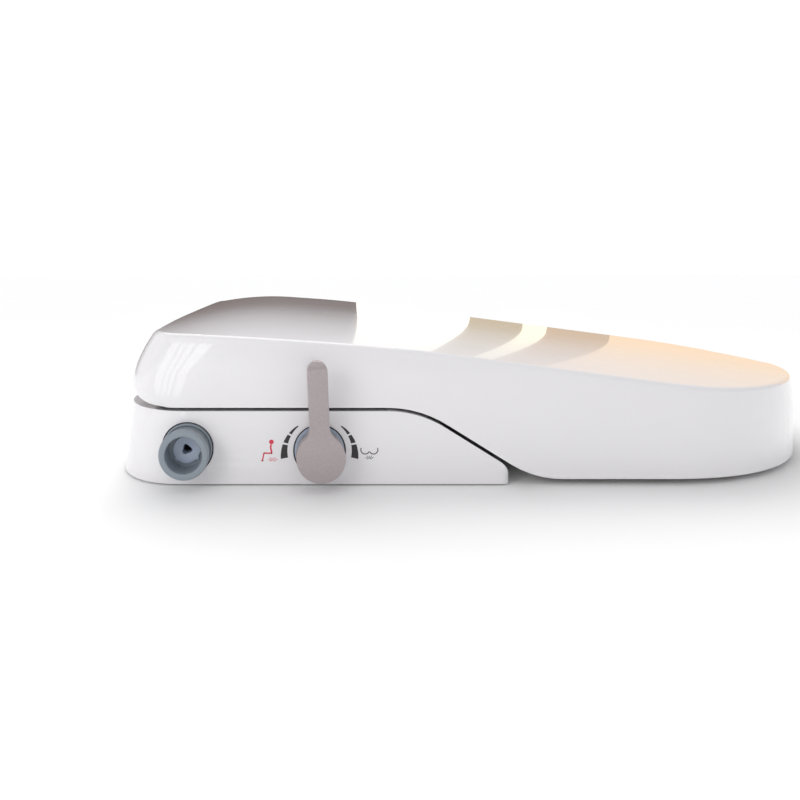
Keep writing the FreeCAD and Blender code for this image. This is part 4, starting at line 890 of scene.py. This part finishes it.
def seat_ears():
    """Two arms behind the ring that turn on the inner ends of the hinge posts."""
    bm = bmesh.new()
    front = RING_REAR + 6 * MM
    for side in POST_SIDES:
        outline = arc(HINGE.x, HINGE.z, EAR_R, 50, 270, 30)
        outline += [(front, HINGE.z - EAR_R), (front, HINGE.z + 8 * MM)]
        side_plate(bm, outline, side * EAR_IN_Y, side * (EAR_IN_Y + EAR_W))
    outward(bm)
    bevelled(bm, 0.8 * MM)
    return finished("seat_hinge_ears", bm, "seat", "seat_plastic")


# ==== lever ====

HUB_R = 14 * MM
ARM_HALF = 5.6 * MM
ARM_THICK = 7.6 * MM
ARM_LEN = 56 * MM
ARM_LEAN = 8 * MM
FLARE_R = 10 * MM
REST_LEAN = math.radians(2.8)   # the handle leans to the rear when the water is off
TIP_ROLL = 5 * MM               # the face rolls back over this much of the tip
TIP_BACK = 4.6 * MM             # and by this much at its end
HANDLE_DEEP = 14 * MM
LEVER_CUTS = 48                 # cross cuts that let the arm bend


def lever_outline():
    """Keyhole: a round hub that flares into a straight arm with a round tip."""
    x0, z0 = LEVER_AXIS.x, LEVER_AXIS.z
    across = ARM_HALF + FLARE_R
    rise = math.sqrt((HUB_R + FLARE_R) ** 2 - across ** 2)
    lean = math.degrees(math.atan2(rise, across))
    tip_z = z0 + ARM_LEN - ARM_HALF
    points = arc(x0, z0, HUB_R, lean, lean - 360 + 2 * (90 - lean), 56)
    left_flare = arc(x0 - across, z0 + rise, FLARE_R, -lean, 0, 10)
    tip = arc(x0, tip_z, ARM_HALF, 180, 0, 24)
    right_flare = arc(x0 + across, z0 + rise, FLARE_R, 180, 180 + lean, 10)
    return points[:-1] + left_flare + tip + right_flare[:-1]


def lean_out(z):
    """How far the arm's face stands in front of the hub's at this height."""
    start = LEVER_AXIS.z + HUB_R * 0.55
    end = LEVER_AXIS.z + ARM_LEN
    share = max(0.0, (z - start) / (end - start))
    return ARM_LEAN * share ** 1.25


def flow_lever():
    bm = bmesh.new()
    back_y = high("lever").y
    front_y = back_y - HANDLE_DEEP
    side_plate(bm, lever_outline(), front_y, front_y + ARM_THICK)
    outward(bm)
    for cut in range(1, LEVER_CUTS):
        z = LEVER_AXIS.z + HUB_R * 0.5 + (ARM_LEN - HUB_R * 0.5) * cut / LEVER_CUTS
        bmesh.ops.bisect_plane(bm, geom=bm.verts[:] + bm.edges[:] + bm.faces[:], dist=1e-6,
                               plane_co=(0, 0, z), plane_no=(0, 0, 1))
    for vert in bm.verts:
        vert.co.y -= lean_out(vert.co.z)
        roll = max(0.0, (vert.co.z - LEVER_AXIS.z - ARM_LEN + TIP_ROLL) / TIP_ROLL)
        if vert.co.y < front_y - lean_out(vert.co.z) + ARM_THICK / 2:
            vert.co.y += TIP_BACK * roll ** 1.7
    bevelled(bm, 1.3 * MM, 5, 55)
    drum = spun_about_y([(0, front_y + 4 * MM), (HUB_R - 0.9 * MM, front_y + 4 * MM),
                         (HUB_R - 0.7 * MM, back_y - 0.8 * MM), (HUB_R - 1.5 * MM, back_y), (0, back_y)],
                        LEVER_AXIS.x, LEVER_AXIS.z)
    spare = bpy.data.meshes.new("drum")
    drum.to_mesh(spare)
    drum.free()
    bm.from_mesh(spare)
    bpy.data.meshes.remove(spare)
    bmesh.ops.rotate(bm, verts=bm.verts, cent=LEVER_AXIS, matrix=Matrix.Rotation(-REST_LEAN, 3, "Y"))
    return finished("flow_lever_handle", bm, "flow_lever", "lever_coating", ["lever"], crease=50)


def bezel_ring():
    """Pale disc behind the hub; the dark bezel shows round it as a thin line, a painted shadow of the gap round
    the disc.
    """
    # the rim stops short so that a thin ring of the dark bezel shows round the disc as painted shadow
    bore, rim, chamfer, thick = 6.6 * MM, 14.7 * MM, 0.3 * MM, 0.34 * MM
    face = low("lever_bezel").y - 0.35 * MM
    profile = [(bore, face + chamfer), (bore, face), (rim - chamfer, face), (rim, face + chamfer),
               (rim, face + thick), (bore, face + thick), (bore, face + chamfer)]
    bm = spun_about_y(profile, LEVER_AXIS.x, LEVER_AXIS.z)
    return finished("lever_bezel_ring", bm, "base", "pale_grey_plastic", crease=35)


# ==== water inlet ====

INLET = middle("inlet_socket")


def inlet_socket():
    """Threaded water inlet as seen: a rounded mouth, a neck line, and the shank that goes in the base."""
    outer, neck, bore, shank, passage = 14.3 * MM, 13.6 * MM, 10.5 * MM, 11.0 * MM, 7.2 * MM
    face = low("inlet_socket").y
    back = high("inlet_socket").y
    bore_end = face + 12 * MM
    step_y = back - 6 * MM
    profile = [(bore, bore_end), (bore, face + 1.0 * MM)]
    profile += arc(bore + 0.8 * MM, face + 0.8 * MM, 0.8 * MM, 180, 270, 4)
    profile += arc(outer - 1.1 * MM, face + 1.1 * MM, 1.1 * MM, 270, 360, 6)
    profile += [(outer, face + 3.4 * MM), (neck + 0.2 * MM, face + 4.0 * MM), (neck, face + 4.6 * MM)]
    profile += [(neck, step_y), (shank, step_y), (shank, back), (passage, back), (passage, bore_end),
                (bore, bore_end)]
    bm = spun_about_y(profile, INLET.x, INLET.z)
    return finished("inlet_socket_turned", bm, "base", "grey_plastic", ["inlet_socket"], crease=35)


def inlet_collar():
    """Ring between the socket and the wall of the base."""
    inner, outer = 13.65 * MM, 14.75 * MM
    edge_r = 0.45 * MM
    front = low("inlet_collar").y
    back = high("inlet_collar").y
    profile = [(inner, back), (inner, front + 0.5 * MM)]
    profile += arc(inner + edge_r, front + edge_r, edge_r, 180, 270, 4)
    profile += arc(outer - edge_r, front + edge_r, edge_r, 270, 360, 4)
    profile += [(outer, back), (inner, back)]
    bm = spun_about_y(profile, INLET.x, INLET.z)
    return finished("inlet_collar_turned", bm, "base", "grey_plastic", ["inlet_collar"], crease=35)


def valve_face_outline(radius, tab, angles, half_width):
    """Round disc with small locking tabs at the given angles."""
    points = []
    for k in range(144):
        turn = 360 * k / 144
        near = min(abs((turn - a + 180) % 360 - 180) for a in angles)
        r = radius + (tab if near < half_width else 0)
        angle = math.radians(turn)
        points.append((INLET.x + r * math.cos(angle), INLET.z + r * math.sin(angle)))
    return points


def inlet_check_valve():
    """Non-return valve cartridge at the bottom of the bore, with a lobed hole in its face."""
    face = low("inlet_check_valve").y - 1.0 * MM
    bm = bmesh.new()
    hole = []
    for k in range(96):
        turn = 2 * math.pi * k / 96
        r = (2.75 + 0.4 * math.cos(3 * turn + 0.6)) * MM
        hole.append((INLET.x + r * math.cos(turn), INLET.z + r * math.sin(turn)))
    outer = valve_face_outline(7.9 * MM, 0.95 * MM, (222, 322, 358), 6)
    rim = [bm.verts.new((x, face, z)) for x, z in outer]
    lip = [bm.verts.new((x, face + 0.6 * MM, z)) for x, z in hole]
    rim_edges = [bm.edges.new((rim[i], rim[(i + 1) % len(rim)])) for i in range(len(rim))]
    lip_edges = [bm.edges.new((lip[i], lip[(i + 1) % len(lip)])) for i in range(len(lip))]
    bmesh.ops.bridge_loops(bm, edges=rim_edges + lip_edges)
    for edges, depth, grow in ((lip_edges, 5 * MM, 0.9), (rim_edges, 3 * MM, 1.0)):
        moved = verts_in(bmesh.ops.extrude_edge_only(bm, edges=edges)["geom"])
        bmesh.ops.translate(bm, verts=moved, vec=(0, depth, 0))
        about_axis = Matrix.Translation((-INLET.x, 0, -INLET.z))
        bmesh.ops.scale(bm, verts=moved, vec=(grow, 1, grow), space=about_axis)
    ends = [e for e in bm.edges if e.is_boundary]
    bmesh.ops.bridge_loops(bm, edges=ends)
    outward(bm)
    bevelled(bm, 0.25 * MM, 2, 50)
    return finished("inlet_valve_face", bm, "base", "pale_grey_plastic", ["inlet_check_valve"], crease=40)


# ==== printed marks on the side of the base ====

INK = 0.06 * MM
MARK_BANDS = ((41, 60), (63, 77), (80, 102))    # degrees from straight up, thin to thick
MARK_INNER = 19 * MM
MARK_GROWTH = 4.4 * MM


def printed(name, outlines, ink):
    """Flat shapes printed on the lever side of the base."""
    bm = bmesh.new()
    for outline in outlines:
        side_plate(bm, outline, -BASE_SIDE_Y - INK, -BASE_SIDE_Y + INK)
    outward(bm)
    return finished(name, bm, "base", "white_plastic", finish=ink)


def flow_marks():
    """Three blocks on each side of the lever, each thicker than the last."""
    first, last = MARK_BANDS[0][0], MARK_BANDS[-1][1]
    shapes = []
    for side in (-1, 1):
        for start, end in MARK_BANDS:
            outer, inner = [], []
            for k in range(9):
                turn = start + (end - start) * k / 8
                grow = 0.15 + 0.85 * (turn - first) / (last - first)
                sine, cosine = side * math.sin(math.radians(turn)), math.cos(math.radians(turn))
                for points, r in ((outer, MARK_INNER + MARK_GROWTH * grow), (inner, MARK_INNER)):
                    points.append((LEVER_AXIS.x + r * sine, LEVER_AXIS.z + r * cosine))
            shapes.append(outer + inner[::-1])
    return printed("flow_mark_blocks", shapes, BLACK_INK)


def stroke(points, width):
    """Outline of a line of constant width through points (x, z)."""
    left, right = [], []
    for i, (x, z) in enumerate(points):
        x0, z0 = points[max(0, i - 1)]
        x1, z1 = points[min(len(points) - 1, i + 1)]
        length = math.hypot(x1 - x0, z1 - z0)
        nx, nz = -(z1 - z0) / length * width / 2, (x1 - x0) / length * width / 2
        left.append((x + nx, z + nz))
        right.append((x - nx, z - nz))
    return left + right[::-1]


def spray(x, z, reach, width):
    """Fan of short jets below a point."""
    jets = []
    for turn in (-52, -26, 0, 26, 52):
        sine, cosine = math.sin(math.radians(turn)), math.cos(math.radians(turn))
        near, far = reach * 0.35, reach * (1.0 if turn else 0.85)
        jets.append(stroke([(x + near * sine, z + near * cosine), (x + far * sine, z + far * cosine)], width))
    return jets


# the seated figure, in millimetres from its middle: points across and up, then the width of the stroke
FIGURE_STROKES = (
    (((1.3, 3.5), (1.0, 1.6), (1.5, -0.2), (1.6, -1.9)), 1.0),
    (((2.0, -1.7), (-3.0, -1.6)), 0.8),
    (((-2.8, -1.3), (-3.3, -3.6), (-3.9, -6.2)), 0.75),
    (((-4.5, -6.2), (-3.2, -6.0)), 0.6),
)
JET_WIDTH = 0.32 * MM


def front_wash_symbol():
    """Plain seated figure with a spray under it."""
    x, z = LEVER_AXIS.x - 29.9 * MM, LEVER_AXIS.z + 0.2 * MM
    shapes = [arc(x + 1.5 * MM, z + 5.0 * MM, 1.4 * MM, 0, 345, 23)]
    for points, width in FIGURE_STROKES:
        shapes.append(stroke([(x + across * MM, z + up * MM) for across, up in points], width * MM))
    shapes += spray(x + 2.3 * MM, z - 7.2 * MM, 3.4 * MM, JET_WIDTH)
    return printed("front_wash_symbol", shapes, RED_INK)


def rear_wash_symbol():
    """Plain double curve with a spray under it."""
    x, z = LEVER_AXIS.x + 29.4 * MM, LEVER_AXIS.z + 0.6 * MM
    shapes = []
    for side in (-1, 1):
        bowl = arc(x + side * 2.5 * MM, z, 2.55 * MM, -90 - side * 65, -90 + side * 115, 16)
        shapes.append(stroke(bowl, 0.55 * MM))
    shapes += spray(x, z - 6.2 * MM, 3.0 * MM, JET_WIDTH)
    return printed("rear_wash_symbol", shapes, BLACK_INK)


# ==== small trim ====

def ribbed_button():
    """Ribbed core of the release button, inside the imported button, whose face stands in front of it."""
    face_y = high("release_button").y - 0.1 * MM
    wall_y = BASE_SIDE_Y
    half_l = 12 * MM
    centre_x, centre_z = middle("release_button").x, 14.5 * MM
    bm = bmesh.new()
    made = bmesh.ops.create_cube(bm, size=1)
    bmesh.ops.scale(bm, verts=made["verts"], vec=(2 * half_l, face_y - wall_y + 2 * MM, 11 * MM))
    bmesh.ops.translate(bm, verts=made["verts"], vec=(centre_x, (face_y + wall_y - 2 * MM) / 2, centre_z))
    bevelled(bm, 1.2 * MM, 4)
    for k in range(-2, 3):
        rib = bmesh.ops.create_cube(bm, size=1)["verts"]
        bmesh.ops.scale(bm, verts=rib, vec=(1.1 * MM, 1.0 * MM, 8 * MM))
        bmesh.ops.translate(bm, verts=rib, vec=(centre_x + 3.4 * MM * k, face_y - 0.5 * MM, centre_z))
    bmesh.ops.recalc_face_normals(bm, faces=bm.faces)
    return finished("release_button_cap", bm, "button", "white_plastic", crease=40)


# ==== springs ====


def squeezed_spring(name, node):
    """Copy of a packed spring in steel, standing in place of the packed one; it rides on no body.
    """
    bm = bmesh.new()
    bm.from_mesh(frame["nodes"][node].data)
    bmesh.ops.remove_doubles(bm, verts=bm.verts, dist=1e-7)
    piece = finished(name, bm, None, "steel", [node], crease=60)
    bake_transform(piece)


# ==== camera, light and floor ====

def camera():
    """Stands level beside the lever, close to the side of the base."""
    data = bpy.data.cameras.new("camera")
    data.sensor_width = 36
    data.lens = 24.4
    data.shift_x = 0.1425
    data.shift_y = -0.159
    data.clip_start = 0.01
    view = bpy.data.objects.new("camera", data)
    view.location = (0.030, -0.505, 0.1257)
    view.rotation_euler = (math.pi / 2, 0, 0)
    bpy.context.scene.collection.objects.link(view)
    bpy.context.scene.camera = view


def soft_light(name, place, target, size, power, colour=(1, 1, 1)):
    data = bpy.data.lights.new(name, "AREA")
    data.shape = "RECTANGLE"
    data.size, data.size_y = size
    data.energy = power
    data.color = colour
    lamp = bpy.data.objects.new(name, data)
    lamp.location = place
    lamp.rotation_euler = (Vector(target) - Vector(place)).to_track_quat("-Z", "Y").to_euler()
    lamp.visible_glossy = False
    bpy.context.scene.collection.objects.link(lamp)
    return lamp


def glow(name, colour, strength):
    material = bpy.data.materials.new(name)
    material.use_nodes = True
    tree = material.node_tree
    tree.nodes.clear()
    light = tree.nodes.new("ShaderNodeEmission")
    light.inputs["Color"].default_value = (*colour, 1)
    light.inputs["Strength"].default_value = strength
    tree.links.new(light.outputs["Emission"], tree.nodes.new("ShaderNodeOutputMaterial").inputs["Surface"])
    return material


def reflection_card(name, corners, material):
    """A card out of the camera's sight that shows only in glossy surfaces."""
    bm = bmesh.new()
    bm.faces.new([bm.verts.new(corner) for corner in corners])
    mesh = bpy.data.meshes.new(name)
    bm.to_mesh(mesh)
    bm.free()
    card = placed(name, mesh, material)
    card.visible_camera = False
    card.visible_diffuse = False
    card.visible_shadow = False
    card.visible_transmission = False
    return card


def floor():
    bm = bmesh.new()
    bmesh.ops.create_grid(bm, x_segments=2, y_segments=2, size=30)
    bmesh.ops.translate(bm, verts=bm.verts, vec=(0, 0, CAD_LOW.z))
    mesh = bpy.data.meshes.new("floor")
    bm.to_mesh(mesh)
    bm.free()
    finish = Finish("pale_floor", (0.9, 0.9, 0.9), 0.9)
    tone = finish.place(DRIFT, Color=(0.90, 0.90, 0.90), Aged=(0.885, 0.885, 0.885), Scale=3.0, Amount=0.5)
    finish.feed("Base Color", tone["Color"])
    finish.fix(Roughness=0.9, Specular_IOR_Level=0.1)
    placed("floor", mesh, finish.material)


def sun(name, direction, strength, spread):
    """Soft parallel light; it falls off nowhere, so the floor stays even to its far edge."""
    data = bpy.data.lights.new(name, "SUN")
    data.energy = strength
    data.angle = math.radians(spread)
    lamp = bpy.data.objects.new(name, data)
    lamp.rotation_euler = Vector(direction).to_track_quat("-Z", "Y").to_euler()
    bpy.context.scene.collection.objects.link(lamp)


REAR_CARD_Y = 0.6
ROOM_LEAN = 0.125   # the bands' edges lean this much to the right for each metre of height
# colour of the room behind the seat, from left to right: name, left edge, right edge, colour, strength
ROOM_BANDS = (
    ("room_wall", -2.0, 0.165, (0.19, 0.155, 0.145), 1.0),
    ("room_window", 0.165, 0.400, (1.0, 0.97, 0.86), 1.5),
    ("room_frame", 0.400, 0.510, (0.60, 0.50, 0.36), 1.0),
    ("room_pane", 0.510, 0.560, (1.0, 0.92, 0.72), 1.2),
    ("room_blind", 0.560, 0.690, (0.66, 0.50, 0.36), 1.0),
    ("room_curtain", 0.690, 2.5, (1.0, 0.76, 0.54), 1.0),
)

PANE_Y = -0.42
PANE_FOOT, PANE_HEAD = -0.003, 0.111
# panes of the window that shows in the rear corner: left and right edge at the foot, then at the head
PANES = ((-0.1130, -0.1010, -0.0834, -0.0760), (-0.0985, -0.0955, -0.0728, -0.0690),
         (-0.0930, -0.0905, -0.0660, -0.0600), (-0.0870, -0.0800, -0.0565, -0.0420))


def window_panes():
    bright = glow("window_pane", (1.0, 1.0, 1.0), 2.7)
    for number, (foot_left, foot_right, head_left, head_right) in enumerate(PANES):
        corners = [(foot_left, PANE_Y, PANE_FOOT), (foot_right, PANE_Y, PANE_FOOT),
                   (head_right, PANE_Y, PANE_HEAD), (head_left, PANE_Y, PANE_HEAD)]
        reflection_card("window_pane_%d" % number, corners, bright)


def studio():
    scene = bpy.context.scene
    scene.view_settings.view_transform = "Standard"
    world = bpy.data.worlds.new("studio")
    scene.world = world
    world.use_nodes = True
    tree = world.node_tree
    sky = tree.nodes["Background"]
    sky.inputs["Color"].default_value = (0.985, 0.985, 1.0, 1)
    sky.inputs["Strength"].default_value = 0.76
    backdrop = tree.nodes.new("ShaderNodeBackground")
    backdrop.inputs["Color"].default_value = (1, 1, 1, 1)
    backdrop.inputs["Strength"].default_value = 1.05
    seen = tree.nodes.new("ShaderNodeLightPath")
    choice = tree.nodes.new("ShaderNodeMixShader")
    tree.links.new(seen.outputs["Is Camera Ray"], choice.inputs["Fac"])
    tree.links.new(sky.outputs["Background"], choice.inputs[1])
    tree.links.new(backdrop.outputs["Background"], choice.inputs[2])
    tree.links.new(choice.outputs["Shader"], tree.nodes["World Output"].inputs["Surface"])
    sun("rear_sun", (0.05, -0.75, -1.0), 1.4, 50)
    soft_light("left_softbox", (-0.55, -0.80, 0.40), (-0.05, -0.15, 0.05), (0.4, 0.4), 2.2, (1.0, 0.99, 0.97))
    for name, left, right, colour, strength in ROOM_BANDS:
        foot, head = -0.2, 1.5
        shift_foot, shift_head = foot * ROOM_LEAN, head * ROOM_LEAN
        corners = [(left + shift_foot, REAR_CARD_Y, foot), (right + shift_foot, REAR_CARD_Y, foot),
                   (right + shift_head, REAR_CARD_Y, head), (left + shift_head, REAR_CARD_Y, head)]
        reflection_card(name, corners, glow(name, colour, strength))
    window_panes()
    overhead = [(-0.6, -0.5, 1.6), (0.6, -0.5, 1.6), (0.6, 0.6, 1.6), (-0.6, 0.6, 1.6)]
    reflection_card("overhead_card", overhead, glow("overhead_card", (1.0, 0.96, 0.88), 2.4))


def main():
    camera()
    studio()
    floor()
    paint_packed_nodes()
    round_base_edges()
    lid_panel()
    lid_knuckles()
    lid_bumper_bosses()
    seat_ring()
    seat_ears()
    flow_lever()
    bezel_ring()
    inlet_socket()
    inlet_collar()
    inlet_check_valve()
    flow_marks()
    front_wash_symbol()
    rear_wash_symbol()
    ribbed_button()
    for wash in ("rear_wash", "front_wash"):
        squeezed_spring(wash + "_return_spring", wash + "_spring")
    squeezed_spring("button_return_spring", "release_button_spring")


main()
